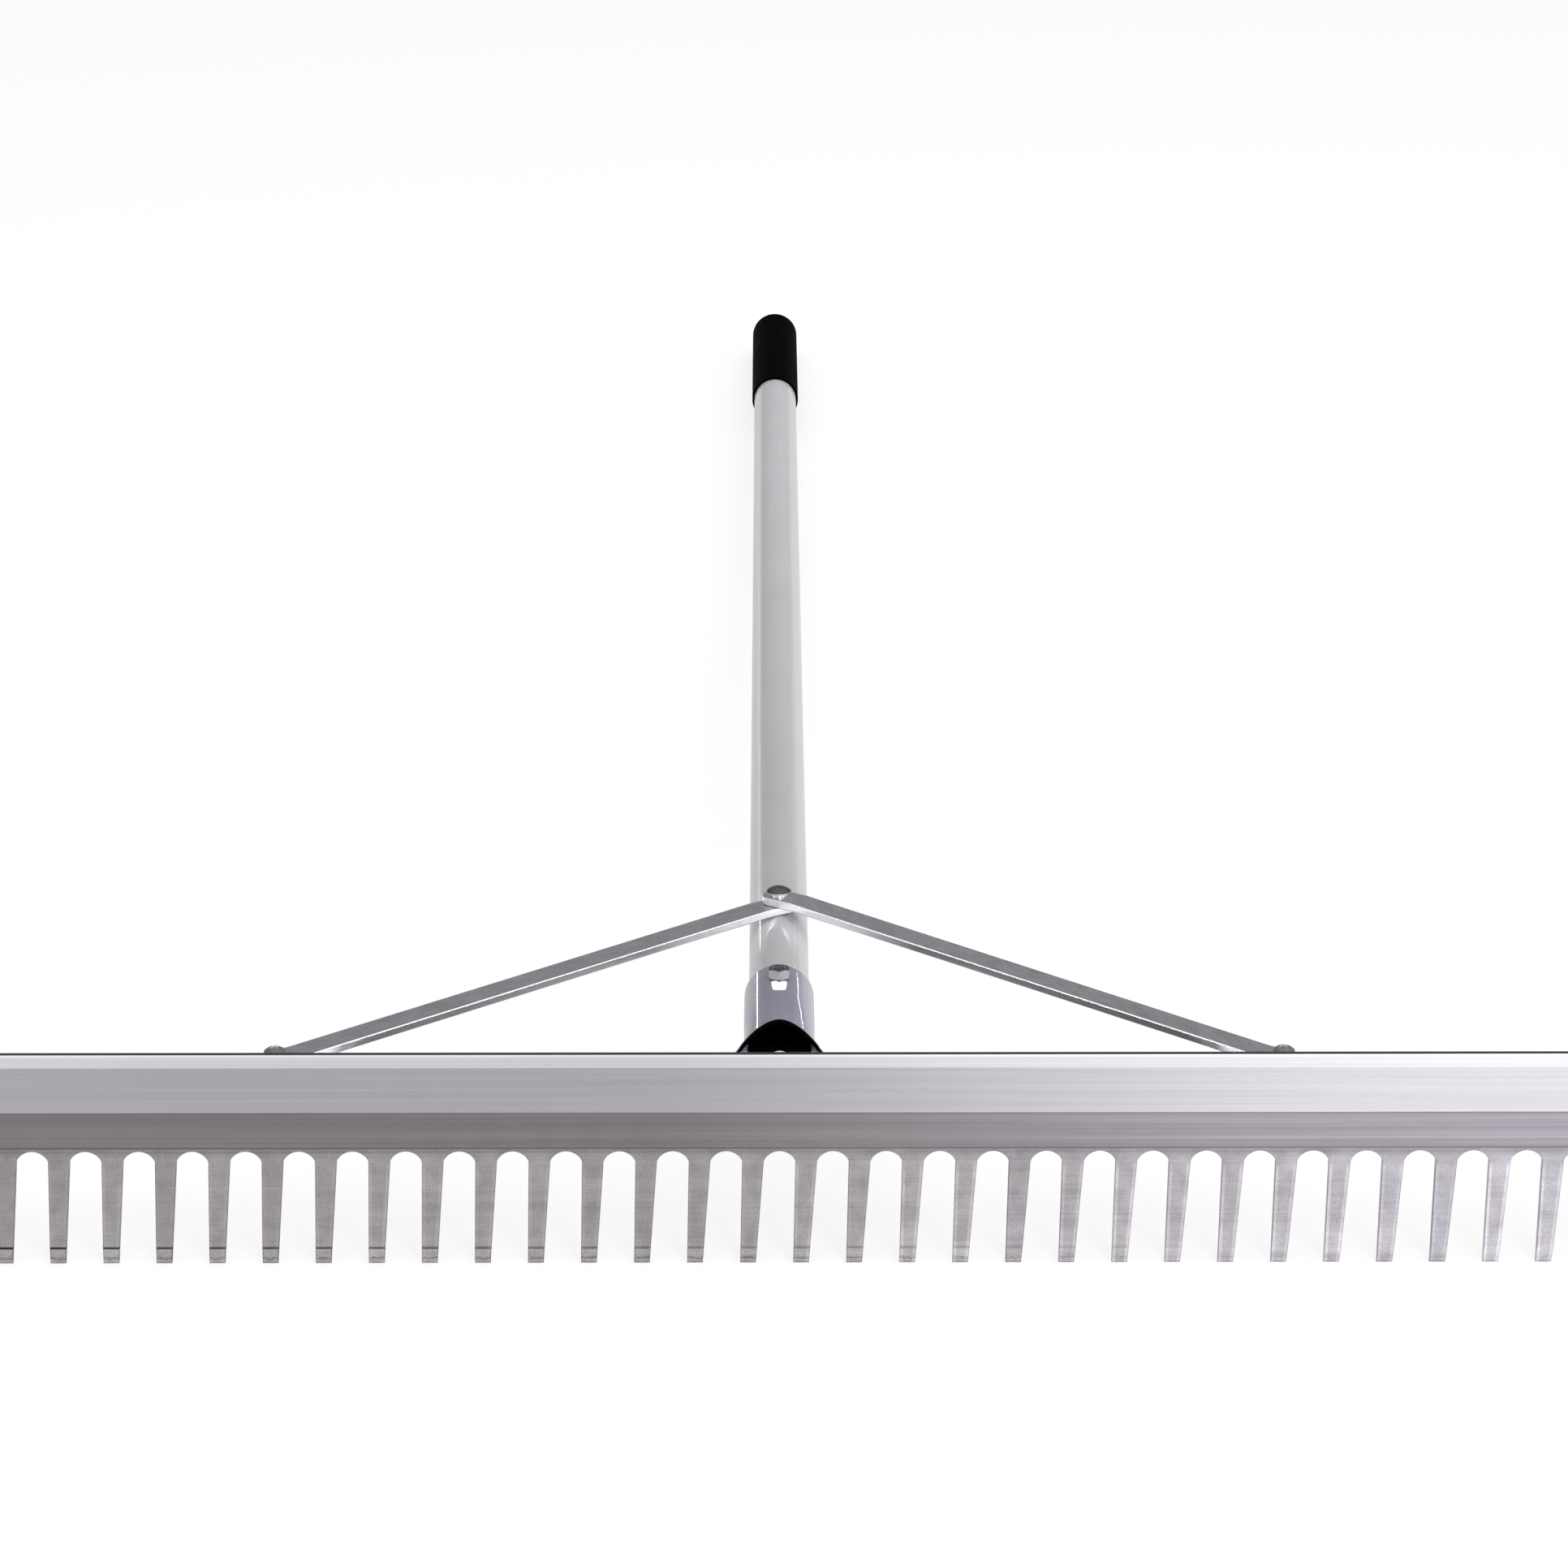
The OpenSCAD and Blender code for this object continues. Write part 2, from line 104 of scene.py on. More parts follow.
def cleanMesh(piece):
    editAll(piece)
    bpy.ops.mesh.remove_doubles(threshold=mergeGap)
    bpy.ops.mesh.dissolve_degenerate(threshold=mergeGap)
    bpy.ops.mesh.delete_loose(use_verts=True, use_edges=True, use_faces=False)
    bpy.ops.mesh.select_all(action="SELECT")
    bpy.ops.mesh.normals_make_consistent(inside=False)
    bpy.ops.object.mode_set(mode="OBJECT")


def extruded(name, corners, way):
    piece = outlineSheet(name, corners)
    editAll(piece)
    bpy.ops.mesh.extrude_region_move(TRANSFORM_OT_translate={"value": way})
    cleanMesh(piece)
    return piece


def spun(name, section, steps):
    piece = outlineSheet(name, [(radius, 0, height) for radius, height in section])
    editAll(piece)
    bpy.ops.mesh.delete(type="ONLY_FACE")
    bpy.ops.mesh.select_all(action="SELECT")
    bpy.ops.mesh.spin(steps=steps, angle=2 * math.pi, center=(0, 0, 0), axis=(0, 0, 1))
    cleanMesh(piece)
    return piece


def applyModifier(piece, kind, **settings):
    pick(piece)
    step = piece.modifiers.new(kind.lower(), kind)
    for key, value in settings.items():
        setattr(step, key, value)
    bpy.ops.object.modifier_apply(modifier=step.name)


def combine(piece, other, operation):
    applyModifier(piece, "BOOLEAN", operation=operation, object=other, solver="EXACT")
    bpy.data.objects.remove(other)


def drill(piece, low, high, spots, radius=holeRadius):
    for x, y in spots:
        clearPick()
        bpy.ops.mesh.primitive_cylinder_add(vertices=32, radius=radius, depth=high - low + 2 * overrun,
                                            location=(x, y, (low + high) / 2), rotation=(0, 0, drillTurn))
        combine(piece, bpy.context.object, "DIFFERENCE")


def cutAcross(piece, point, normal):
    editAll(piece)
    bpy.ops.mesh.bisect(plane_co=point, plane_no=normal)
    bpy.ops.object.mode_set(mode="OBJECT")


def soften(piece, width, segments, angle, shadeAngle=None):
    applyModifier(piece, "BEVEL", width=width, segments=segments, limit_method="ANGLE",
                  angle_limit=math.radians(angle), use_clamp_overlap=False)
    smooth(piece, shadeAngle or angle)


# bevels the edges that the test picks by their lowest and highest corners and the faces beside them
def softenEdges(piece, width, test, segments=2):
    mesh = piece.data
    facesAt = {}
    for face in mesh.polygons:
        for key in face.edge_keys:
            facesAt.setdefault(key, []).append(face.normal.copy())
    clearParts(piece, "EDGE")
    for edge in mesh.edges:
        ends = [mesh.vertices[i].co for i in edge.vertices]
        low = Vector([min(values) for values in zip(*ends)])
        high = Vector([max(values) for values in zip(*ends)])
        normals = facesAt.get(edge.key, [])
        sharp = len(normals) == 2 and normals[0].angle(normals[1]) > sharpAngle
        edge.select = sharp and test(low, high, normals)
    bpy.ops.object.mode_set(mode="EDIT")
    bpy.ops.mesh.bevel(offset=width, segments=segments, affect="EDGES", clamp_overlap=False)
    bpy.ops.object.mode_set(mode="OBJECT")


def smooth(piece, angle):
    pick(piece)
    bpy.ops.object.shade_smooth_by_angle(angle=math.radians(angle))
    applyModifier(piece, "WEIGHTED_NORMAL", weight=50, keep_sharp=True)


def movePiece(piece, place):
    pick(piece)
    piece.matrix_world = place @ piece.matrix_world
    bpy.ops.object.transform_apply(location=True, rotation=True, scale=True)


def copyPiece(piece, name):
    twin = piece.copy()
    twin.data = piece.data.copy()
    twin.name = name
    bpy.context.scene.collection.objects.link(twin)
    return twin


# places along the rake, in metres, in the tool's own frame
headSize = {
    "tines": 36, "tineLength": 0.0586, "tineRoot": 0.0105, "tineTip": 0.0076, "tineLean": 0.0025,
    "rootRise": 0.0053, "rootLand": 0.0012, "blade": 0.004, "wall": 0.004,
    "nose": 0.008, "faceHeight": 0.0229, "slopeHeight": 0.0218,
    "chamfer": 0.0051, "lipLand": 0.0027, "lipHeight": 0.0115,
    "flangeDrop": 0.002, "flangeThick": 0.004, "flangeDepth": 0.030, "holeDepth": 0.0155,
    "tipBevel": (0.0085, 0.0009), "tipEdge": (0.0027, 0.0008),
    "lipSoft": 0.0003, "tineSoft": 0.0003, "rootSteps": 16,
}
flangeTop = -headSize["flangeDrop"]
flangeBottom = flangeTop - headSize["flangeThick"]
lipTop = flangeTop + headSize["lipHeight"]
faceTop = lipTop - headSize["chamfer"]
faceBottom = faceTop - headSize["faceHeight"]
slopeBottom = faceBottom - headSize["slopeHeight"]
rootTop = slopeBottom - headSize["rootLand"]
springHeight = rootTop - headSize["rootRise"]
tipHeight = rootTop - headSize["tineLength"]
headLow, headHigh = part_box("rake_head")
headWidth = headHigh.x - headLow.x
tinePitch = (headWidth - headSize["tineRoot"]) / (headSize["tines"] - 1)

turn = Matrix.Rotation(-layAngle, 4, "X")
frontCorner = turn @ Vector((0, -headSize["nose"], faceBottom))
tipCorner = turn @ Vector((0, headSize["blade"], tipHeight))
toolOrigin = Vector((0, headLow.y - frontCorner.y, headLow.z - tipCorner.z))
toolPlace = Matrix.Translation(toolOrigin) @ turn
print("tool laid at", [round(v, 5) for v in toolOrigin], "angle", round(math.degrees(layAngle), 3))


def finishPiece(piece, node, slotName, *finishes):
    movePiece(piece, toolPlace)
    for finish in finishes:
        piece.data.materials.append(finish)
    piece.name = node + "_dressed"
    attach(piece, "root")
    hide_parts(node)


# finishes: every pattern reads Object coordinates, turned back to the tool's own frame

def newFinish(name):
    finish = bpy.data.materials.new(name)
    finish.use_nodes = True
    tree = finish.node_tree
    return finish, tree, tree.nodes["Principled BSDF"]


def setSockets(node, values):
    for name, value in values.items():
        node.inputs[name].default_value = value


def toolCoords(tree):
    coords = tree.nodes.new("ShaderNodeTexCoord")
    mapping = tree.nodes.new("ShaderNodeMapping")
    setSockets(mapping, {"Rotation": (layAngle, 0, 0), "Location": -(turn.inverted().to_3x3() @ toolOrigin)})
    tree.links.new(coords.outputs["Object"], mapping.inputs["Vector"])
    return mapping.outputs["Vector"]


def axes(tree, vector, letters):
    split = tree.nodes.new("ShaderNodeSeparateXYZ")
    tree.links.new(vector, split.inputs["Vector"])
    return [split.outputs[letter] for letter in letters]


def mapped(tree, vector, socket, value):
    mapping = tree.nodes.new("ShaderNodeMapping")
    mapping.inputs[socket].default_value = value
    tree.links.new(vector, mapping.inputs["Vector"])
    return mapping.outputs["Vector"]


def stretched(tree, vector, scale, turnZ=0.0):
    if turnZ:
        vector = mapped(tree, vector, "Rotation", (0, 0, turnZ))
    return mapped(tree, vector, "Scale", scale)


def noise(tree, vector, scale=1.0, detail=3.0):
    texture = tree.nodes.new("ShaderNodeTexNoise")
    setSockets(texture, {"Scale": scale, "Detail": detail, "Roughness": 0.55})
    tree.links.new(vector, texture.inputs["Vector"])
    return texture.outputs["Fac"]


# runs from low to high while the value runs from start to end; noise keeps mostly within 0.35 to 0.65
def spread(tree, value, low, high, start=0.35, end=0.65):
    span = tree.nodes.new("ShaderNodeMapRange")
    setSockets(span, {"From Min": start, "From Max": end, "To Min": low, "To Max": high})
    tree.links.new(value, span.inputs["Value"])
    return span.outputs["Result"]


def maths(tree, operation, first, second=0):
    step = tree.nodes.new("ShaderNodeMath")
    step.operation = operation
    for socket, value in zip(step.inputs, (first, second)):
        if isinstance(value, (int, float)):
            socket.default_value = value
        else:
            tree.links.new(value, socket)
    return step.outputs["Value"]


def minus(tree, first, second):
    return maths(tree, "SUBTRACT", first, second)


def plus(tree, total, *others):
    for other in others:
        total = maths(tree, "ADD", total, other)
    return total


def times(tree, total, *others):
    for other in others:
        total = maths(tree, "MULTIPLY", total, other)
    return total


# adds up patterns, each with its share
def mixed(tree, *parts):
    return plus(tree, *[times(tree, pattern, share) for pattern, share in parts])


def shades(tree, value, stops):
    ramp = tree.nodes.new("ShaderNodeValToRGB")
    band = ramp.color_ramp
    while len(band.elements) < len(stops):
        band.elements.new(0.5)
    for element, (place, colour) in zip(band.elements, stops):
        element.position = place
        element.color = (*colour, 1)
    tree.links.new(value, ramp.inputs["Fac"])
    return ramp.outputs["Color"]


def toned(tree, grain, look, dullAt, paleAt):
    return shades(tree, grain, [(dullAt, look["dull"]), (paleAt, look["pale"])])


def dimmed(tree, colour, *factors):
    for factor in factors:
        mix = tree.nodes.new("ShaderNodeMix")
        mix.data_type = "RGBA"
        mix.blend_type = "MULTIPLY"
        mix.inputs["Factor"].default_value = 1
        tree.links.new(colour, mix.inputs["A"])
        tree.links.new(factor, mix.inputs["B"])
        colour = mix.outputs["Result"]
    return colour


def dress(tree, shader, colour, grain, look):
    tree.links.new(colour, shader.inputs["Base Color"])
    tree.links.new(spread(tree, grain, *look["roughness"]), shader.inputs["Roughness"])


def bumps(tree, shader, height, strength, distance):
    bump = tree.nodes.new("ShaderNodeBump")
    setSockets(bump, {"Strength": strength, "Distance": distance})
    tree.links.new(height, bump.inputs["Height"])
    tree.links.new(bump.outputs["Normal"], shader.inputs["Normal"])
    return bump


# the head's bands differ in how the die and the grinding left them, and they are lit and shaded copies of
# one aluminium: the slope and the blade are painted darker and the land near black, as painted shade, and
# the back paler, as painted light
paintedLightPlaces = (-0.36, -0.06, 0.1, 0.2, 0.36)  # across the head, where "across" says how much painted light and shade a band gets
headLooks = {
    "chamfer": {"pale": (0.401, 0.394, 0.42), "dull": (0.364, 0.356, 0.382), "roughness": (0.38, 0.42),
                "brushed": 0.85, "fine": 0.5, "broad": 0.45, "cloud": 0.05, "speck": 0.02,
                "across": (1.18, 1.0, 1.16, 1.15, 1.15)},
    "face": {"pale": (0.4175, 0.404, 0.435), "dull": (0.3775, 0.366, 0.39), "roughness": (0.39, 0.43),
             "brushed": 0.85, "fine": 0.7, "broad": 0.25, "cloud": 0.05, "speck": 0.03,
             "across": (1.12, 0.97, 1.08, 1.04, 0.905)},
    "slope": {"pale": (0.257, 0.239, 0.2565), "dull": (0.203, 0.185, 0.1985), "roughness": (0.36, 0.44),
              "brushed": 0.85, "fine": 0.35, "broad": 0.6, "cloud": 0.05, "speck": 0.03,
              "across": (0.97, 0.94, 1.32, 1.55, 1.64)},
    "blade": {"pale": (0.345, 0.326, 0.34), "dull": (0.262, 0.246, 0.257), "roughness": (0.36, 0.5),
              "brushed": 0.35, "fine": 0.3, "broad": 0.2, "cloud": 0.5, "speck": 0.18,
              "across": (1.01, 0.935, 1.03, 1.13, 1.28)},
    "land": {"pale": (0.055, 0.051, 0.056), "dull": (0.036, 0.033, 0.037), "roughness": (0.3, 0.4),
             "brushed": 0.0, "fine": 0.5, "broad": 0.3, "cloud": 0.2, "speck": 0.05, "across": ()},
    "back": {"pale": (0.5, 0.486, 0.512), "dull": (0.4, 0.388, 0.408), "roughness": (0.36, 0.46),
             "brushed": 0.6, "fine": 0.55, "broad": 0.35, "cloud": 0.1, "speck": 0.04, "across": ()},
}
headBands = list(headLooks)
headTints = ((1, 0.99, 0.985), (0.945, 0.957, 1))  # of slope and blade, at the middle and at the right: painted light, bluer towards the right
# dark lines painted at the slope's foot, at the bend above it and on the blade just below the slope, as
# painted shade: a line's distance from its border, half width and darkness
headLines = {"foot": (0.0006, 0.0005, 0.45), "bend": (0.0004, 0.0005, 0.3), "under": (0.0016, 0.0004, 0.12)}
highlightBorder = (1, 1.3, lipTop - 0.0012, lipTop - 0.0009)  # of the chamfer's painted highlight: two tones and their heights
lineCore = 0.4  # share of a line's half width that is fully dark


def lineAt(tree, value, place, halfWidth):
    away = maths(tree, "ABSOLUTE", minus(tree, value, place))
    return spread(tree, away, 1, 0, halfWidth * lineCore, halfWidth)


def headLine(tree, z, border, name, side):
    away, halfWidth, darkness = headLines[name]
    return times(tree, lineAt(tree, z, border + side * away, halfWidth), darkness)


# marks painted on each tine: pale strips along its flanks, a painted highlight strongest on the right, and
# darker edges;
# dark lines over the creases of the ground tip, painted shade, with a round paler spot below the upper one,
# strongest on the left.
# A row of four holds two tones and the two places between which the first turns to the second: in from
# the flank (strip, edge), away from the spot's middle, above the tip (end), or across the head
tineLook = {
    "strip": (0.42, 0, 0.0014, 0.0019), "stripAcross": (0.3, 1, -0.3, 0.4), "stripLuck": (0.25, 1.2),
    "edge": (-0.45, 0, 0.0001, 0.0005), "rootFade": 0.08, "luck": (0.95, 1.05),
    "shadeUnderSlope": (1, 0.78, slopeBottom - 0.005, slopeBottom - 0.0012),
    "groundAcross": (0.12, 0.06, 0, 0.3), "groundTop": (0.0084, 0.0086),
    "lastAcross": (0.1, 0.04, 0, 0.3), "lastTop": (0.0026, 0.0028),
    "paleAcross": (0.07, 0.2, -0.1, 0.2), "paleTop": (0.006, 0.022),
    "leftMarksAcross": (0.95, 0.0, -0.4, 0.24), "bevelLine": 0.0009,
    "edgeAcross": (0.45, 0.12, 0, 0.3), "edgeLine": 0.0007, "edgeWave": 0.0006,
    "end": (0.45, 0, 0.0004, 0.0009),
    "spot": (0.12, -0.14, 0.0028, 0.0034), "spotHeight": 0.0064,
    "spotTop": (0.0074, 0.0079), "spotFoot": (0.0027, 0.003),
}


def tineMarks(tree, place):
    look = tineLook
    x, z = axes(tree, place, "XZ")
    up = minus(tree, z, tipHeight)
    down = maths(tree, "DIVIDE", minus(tree, springHeight, z), springHeight - tipHeight)
    straight = plus(tree, x, times(tree, down, headSize["tineLean"]))
    count = maths(tree, "DIVIDE", straight, tinePitch)
    aside = times(tree, minus(tree, maths(tree, "FRACT", count), 0.5), tinePitch)
    taper = (headSize["tineTip"] - headSize["tineRoot"]) / 2
    half = plus(tree, headSize["tineRoot"] / 2, times(tree, down, taper))
    inside = minus(tree, half, maths(tree, "ABSOLUTE", aside))
    onTine = spread(tree, down, 0, 1, 0, look["rootFade"])
    chance = tree.nodes.new("ShaderNodeTexWhiteNoise")
    chance.noise_dimensions = "1D"
    tree.links.new(maths(tree, "FLOOR", count), chance.inputs["W"])
    luck = chance.outputs["Value"]
    # painted highlight: pale strips in from the flanks, strongest on the right; darker right at the flanks
    strip = times(tree, spread(tree, inside, *look["strip"]), spread(tree, x, *look["stripAcross"]),
                  spread(tree, luck, *look["stripLuck"], 0, 1))
    edge = spread(tree, inside, *look["edge"])
    tone = plus(tree, 1, times(tree, onTine, plus(tree, strip, edge)))
    # painted shade: the blade is darker just below the slope
    tone = times(tree, tone, spread(tree, luck, *look["luck"], 0, 1), spread(tree, z, *look["shadeUnderSlope"]))
    tone = minus(tree, tone, headLine(tree, z, slopeBottom, "under", -1))
    # a little paler where it is ground, at its very end, and over its lower part, more towards the right
    for zone in ("ground", "last", "pale"):
        low = spread(tree, up, 1, 0, *look[zone + "Top"])
        paler = times(tree, low, spread(tree, x, *look[zone + "Across"]))
        tone = times(tree, tone, plus(tree, 1, paler))
    # painted shade along the creases over the ground tip, strongest on the left
    paintedAcross = spread(tree, x, *look["leftMarksAcross"])
    bevelLine = lineAt(tree, up, headSize["tipBevel"][0], look["bevelLine"])
    tone = times(tree, tone, minus(tree, 1, times(tree, bevelLine, paintedAcross)))
    wave = spread(tree, noise(tree, place, scale=420, detail=2), -look["edgeWave"], look["edgeWave"])
    edgeLine = lineAt(tree, plus(tree, up, wave), headSize["tipEdge"][0], look["edgeLine"])
    tone = minus(tree, tone, times(tree, edgeLine, spread(tree, x, *look["edgeAcross"])))
    tone = minus(tree, tone, spread(tree, up, *look["end"]))
    spotUp = minus(tree, up, look["spotHeight"])
    spotAway = maths(tree, "SQRT", plus(tree, times(tree, aside, aside), times(tree, spotUp, spotUp)))
    spot = times(tree, spread(tree, spotAway, *look["spot"]), spread(tree, up, 1, 0, *look["spotTop"]),
                 spread(tree, up, 0, 1, *look["spotFoot"]), paintedAcross)
    return plus(tree, tone, spot)


def headAluminium(band):
    look = headLooks[band]
    finish, tree, shader = newFinish("aluminium_" + band)
    place = toolCoords(tree)
    x, z = axes(tree, place, "XZ")
    fine = noise(tree, stretched(tree, place, scale=(5, 800, 800)), detail=4)
    broad = noise(tree, stretched(tree, place, scale=(1.6, 260, 260)), detail=3)
    cloud = noise(tree, place, scale=90, detail=5)
    speck = noise(tree, place, scale=1100, detail=3)
    grain = mixed(tree, (fine, look["fine"]), (broad, look["broad"]), (cloud, look["cloud"]))
    colour = toned(tree, grain, look, dullAt=0.4, paleAt=0.6)
    # painted light and shade: each band is made paler or darker across the head, as the light falls
    if look["across"]:
        paintedAcross = look["across"][0]
        for left, right, start, end in zip(look["across"], look["across"][1:], paintedLightPlaces, paintedLightPlaces[1:]):
            paintedAcross = plus(tree, paintedAcross, spread(tree, x, 0, right - left, start, end))
        colour = dimmed(tree, colour, paintedAcross)
    # painted light: slope and blade turn bluer towards the right
    if band in ("slope", "blade"):
        rightShare = spread(tree, x, 0, 1, 0, paintedLightPlaces[-1])
        colour = dimmed(tree, colour, shades(tree, rightShare, list(enumerate(headTints))))
    if band == "blade":
        colour = dimmed(tree, colour, tineMarks(tree, place))
    if band == "chamfer":  # a painted highlight along its upper border
        colour = dimmed(tree, colour, spread(tree, z, *highlightBorder))
    if band == "slope":  # painted shade: a dark line in the corner at the slope's foot, and one along the edge of the bend above it
        foot = headLine(tree, z, slopeBottom, "foot", 1)
        bend = headLine(tree, z, faceBottom, "bend", -1)
        colour = dimmed(tree, colour, minus(tree, 1, plus(tree, foot, bend)))
    specks = spread(tree, speck, 1 - look["speck"], 1 + look["speck"] * 0.3, start=0.3, end=0.55)
    dress(tree, shader, dimmed(tree, colour, specks), grain, look)
    setSockets(shader, {"Metallic": 1, "Anisotropic": look["brushed"]})
    tangent = tree.nodes.new("ShaderNodeTangent")
    tangent.direction_type = "RADIAL"
    tangent.axis = "X"
    tree.links.new(tangent.outputs["Tangent"], shader.inputs["Tangent"])
    bumps(tree, shader, mixed(tree, (fine, 1), (broad, 1.5)), strength=0.2, distance=0.00005)
    return finish


def tubeAluminium():
    look = {"pale": (0.474, 0.458, 0.477), "dull": (0.428, 0.412, 0.431), "roughness": (0.3, 0.38),
            "along": (0.84, 1.07), "across": (0.9, 1.05, -0.012, 0.012),
            "farPlaces": (0.25, 1.2), "farTop": (-0.12, 0.085, 0.009, 0.0145)}
    finish, tree, shader = newFinish("silver_lacquer")
    place = toolCoords(tree)
    x, y, z = axes(tree, place, "XYZ")
    drawn = noise(tree, stretched(tree, place, scale=(1600, 14, 1600)), detail=3)
    cloud = noise(tree, place, scale=18, detail=4)
    grain = mixed(tree, (drawn, 0.6), (cloud, 0.4))
    # painted light and shade: darker towards the head, paler on top and darker on the sides towards the far
    # end, and darker on the left side
    along = spread(tree, y, *look["along"], *look["farPlaces"])
    far = spread(tree, y, 0, 1, *look["farPlaces"])
    top = plus(tree, 1, times(tree, far, spread(tree, z, *look["farTop"])))
    colour = toned(tree, grain, look, dullAt=0.36, paleAt=0.64)
    colour = dimmed(tree, colour, along, spread(tree, x, *look["across"]), top)
    dress(tree, shader, colour, grain, look)
    setSockets(shader, {"Metallic": 0.15, "Specular IOR Level": 0.1,
                        "Coat Weight": 0.3, "Coat Roughness": 0.05})
    bumps(tree, shader, drawn, strength=0.12, distance=0.00004)
    return finish


def gripRubber():
    look = {"pale": (0.0018, 0.0018, 0.0019), "dull": (0.0007, 0.0007, 0.0007), "roughness": (0.6, 0.75)}
    finish, tree, shader = newFinish("black_rubber")
    place = toolCoords(tree)
    skin = noise(tree, place, scale=1500, detail=4)
    cloud = noise(tree, place, scale=60, detail=3)
    grain = mixed(tree, (skin, 0.5), (cloud, 0.5))
    dress(tree, shader, toned(tree, grain, look, dullAt=0.38, paleAt=0.62), grain, look)
    shader.inputs["Specular IOR Level"].default_value = 0.003
    bumps(tree, shader, skin, strength=0.35, distance=0.00018)
    return finish


# grey_paint is paler on its right side, painted light; lit_corner_paint is a lighter copy of it, painted
# light for the low corners inside the mouth
paintLooks = {
    "grey_paint": {"pale": (0.17, 0.164, 0.212), "dull": (0.144, 0.14, 0.181), "roughness": (0.3, 0.4),
                   "right": (1, 1.45, 0.006, 0.016)},
    "lit_corner_paint": {"pale": (0.42, 0.41, 0.46), "dull": (0.35, 0.34, 0.39), "roughness": (0.3, 0.4)},
}


def ferrulePaint(name):
    look = paintLooks[name]
    finish, tree, shader = newFinish(name)
    place = toolCoords(tree)
    peel = noise(tree, stretched(tree, place, scale=(260, 120, 260)), detail=2)
    cloud = noise(tree, place, scale=45, detail=4)
    fleck = noise(tree, place, scale=2600, detail=2)
    grain = mixed(tree, (cloud, 0.6), (fleck, 0.4))
    colour = toned(tree, grain, look, dullAt=0.36, paleAt=0.64)
    # painted light: paler on the right side
    if "right" in look:
        colour = dimmed(tree, colour, spread(tree, *axes(tree, place, "X"), *look["right"]))
    dress(tree, shader, colour, grain, look)
    setSockets(shader, {"Specular IOR Level": 0.1, "Coat Weight": 0.42,
                        "Coat IOR": 1.7, "Coat Roughness": 0.02})
    bump = bumps(tree, shader, peel, strength=0.35, distance=0.00012)
    tree.links.new(bump.outputs["Normal"], shader.inputs["Coat Normal"])
    return finish


# painted shade: a near black finish for the inside of the ferrule and of the tube, for the tube's end inside
# the ferrule and for the edge of the ferrule's mouth
def ferruleInside():
    look = {"pale": (0.0024, 0.0024, 0.0026), "dull": (0.001, 0.001, 0.001), "roughness": (0.7, 0.9)}
    finish, tree, shader = newFinish("dark_inside")
    dust = noise(tree, toolCoords(tree), scale=160, detail=4)
    dress(tree, shader, toned(tree, dust, look, dullAt=0.36, paleAt=0.64), dust, look)
    shader.inputs["Specular IOR Level"].default_value = 0.005
    bumps(tree, shader, dust, strength=0.2, distance=0.0001)
    return finish


# a brace's broad faces are brushed; its faces are lit and shaded copies of one plated metal: the top darker
# and the edges and underside bright, as painted light, and the sides painted dark along their middle, as
# painted shade, and bright near both ends, as painted light
plateLooks = {
    "top": {"pale": (0.49, 0.477, 0.508), "dull": (0.372, 0.363, 0.39), "roughness": (0.24, 0.34),
            "metal": 1, "bump": 0.14},
    "edge": {"pale": (0.88, 0.87, 0.89), "dull": (0.78, 0.77, 0.79), "roughness": (0.2, 0.28),
             "metal": 1, "bump": 0.03},
    "side": {"pale": (0.95, 0.95, 0.99), "dull": (0.78, 0.78, 0.82), "roughness": (0.1, 0.2),
             "metal": 0.5, "bump": 0.14, "dark": {"left": 0.26, "right": 0.185}},
}
slantTurn = 0.5  # between the lines along the bar and the scratches across them


def bracePlate(part, side, angle):
    look = plateLooks[part]
    finish, tree, shader = newFinish(side + "_plate_" + part)
    place = toolCoords(tree)
    along = noise(tree, stretched(tree, place, (28, 1500, 1500), angle), detail=4)
    slant = noise(tree, stretched(tree, place, (90, 700, 700), angle + slantTurn), detail=3)
    cloud = noise(tree, place, scale=70, detail=4)
    grain = mixed(tree, (along, 0.4), (slant, 0.3), (cloud, 0.3))
    colour = toned(tree, grain, look, dullAt=0.38, paleAt=0.62)
    if part == "side":  # painted shade along its middle and painted light near both ends, from the handle's joint at 0 to the head at 1
        away = maths(tree, "ABSOLUTE", *axes(tree, place, "X"))
        out = maths(tree, "DIVIDE", away, braceSize["spread"] / 2)
        dark = look["dark"][side]
        tones = [(0, 1), (0.1, 0.95), (0.28, 1.3 * dark), (0.8, dark), (0.87, 1.2 * dark), (0.9, 1), (1, 1)]
        colour = dimmed(tree, colour, shades(tree, out, [(spot, 3 * (tone,)) for spot, tone in tones]))
    dress(tree, shader, colour, grain, look)
    shader.inputs["Metallic"].default_value = look["metal"]
    bumps(tree, shader, plus(tree, along, slant), strength=look["bump"], distance=0.00005)
    return finish


# plated fasteners: bright flanks; the caps, the nut's ends and the bolt's end painted dark, as painted
# shade; and nearly black where they pass through the handle, painted shade
zincLooks = {
    "bright": {"pale": (0.9, 0.89, 0.9), "dull": (0.7, 0.69, 0.7), "roughness": (0.08, 0.2), "metal": 0.5},
    "facet": {"pale": (0.82, 0.81, 0.83), "dull": (0.68, 0.67, 0.69), "roughness": (0.04, 0.1),
              "metal": 0.7},
    "cap": {"pale": (0.14, 0.132, 0.128), "dull": (0.085, 0.08, 0.078), "roughness": (0.3, 0.45),
            "metal": 0.2},
    "dark": {"pale": (0.06, 0.064, 0.062), "dull": (0.028, 0.03, 0.03), "roughness": (0.2, 0.35),
             "metal": 0.5},
    "hidden": {"pale": (0.004, 0.004, 0.004), "dull": (0.002, 0.002, 0.002), "roughness": (0.6, 0.8),
               "metal": 0},
}
zincParts = list(zincLooks)


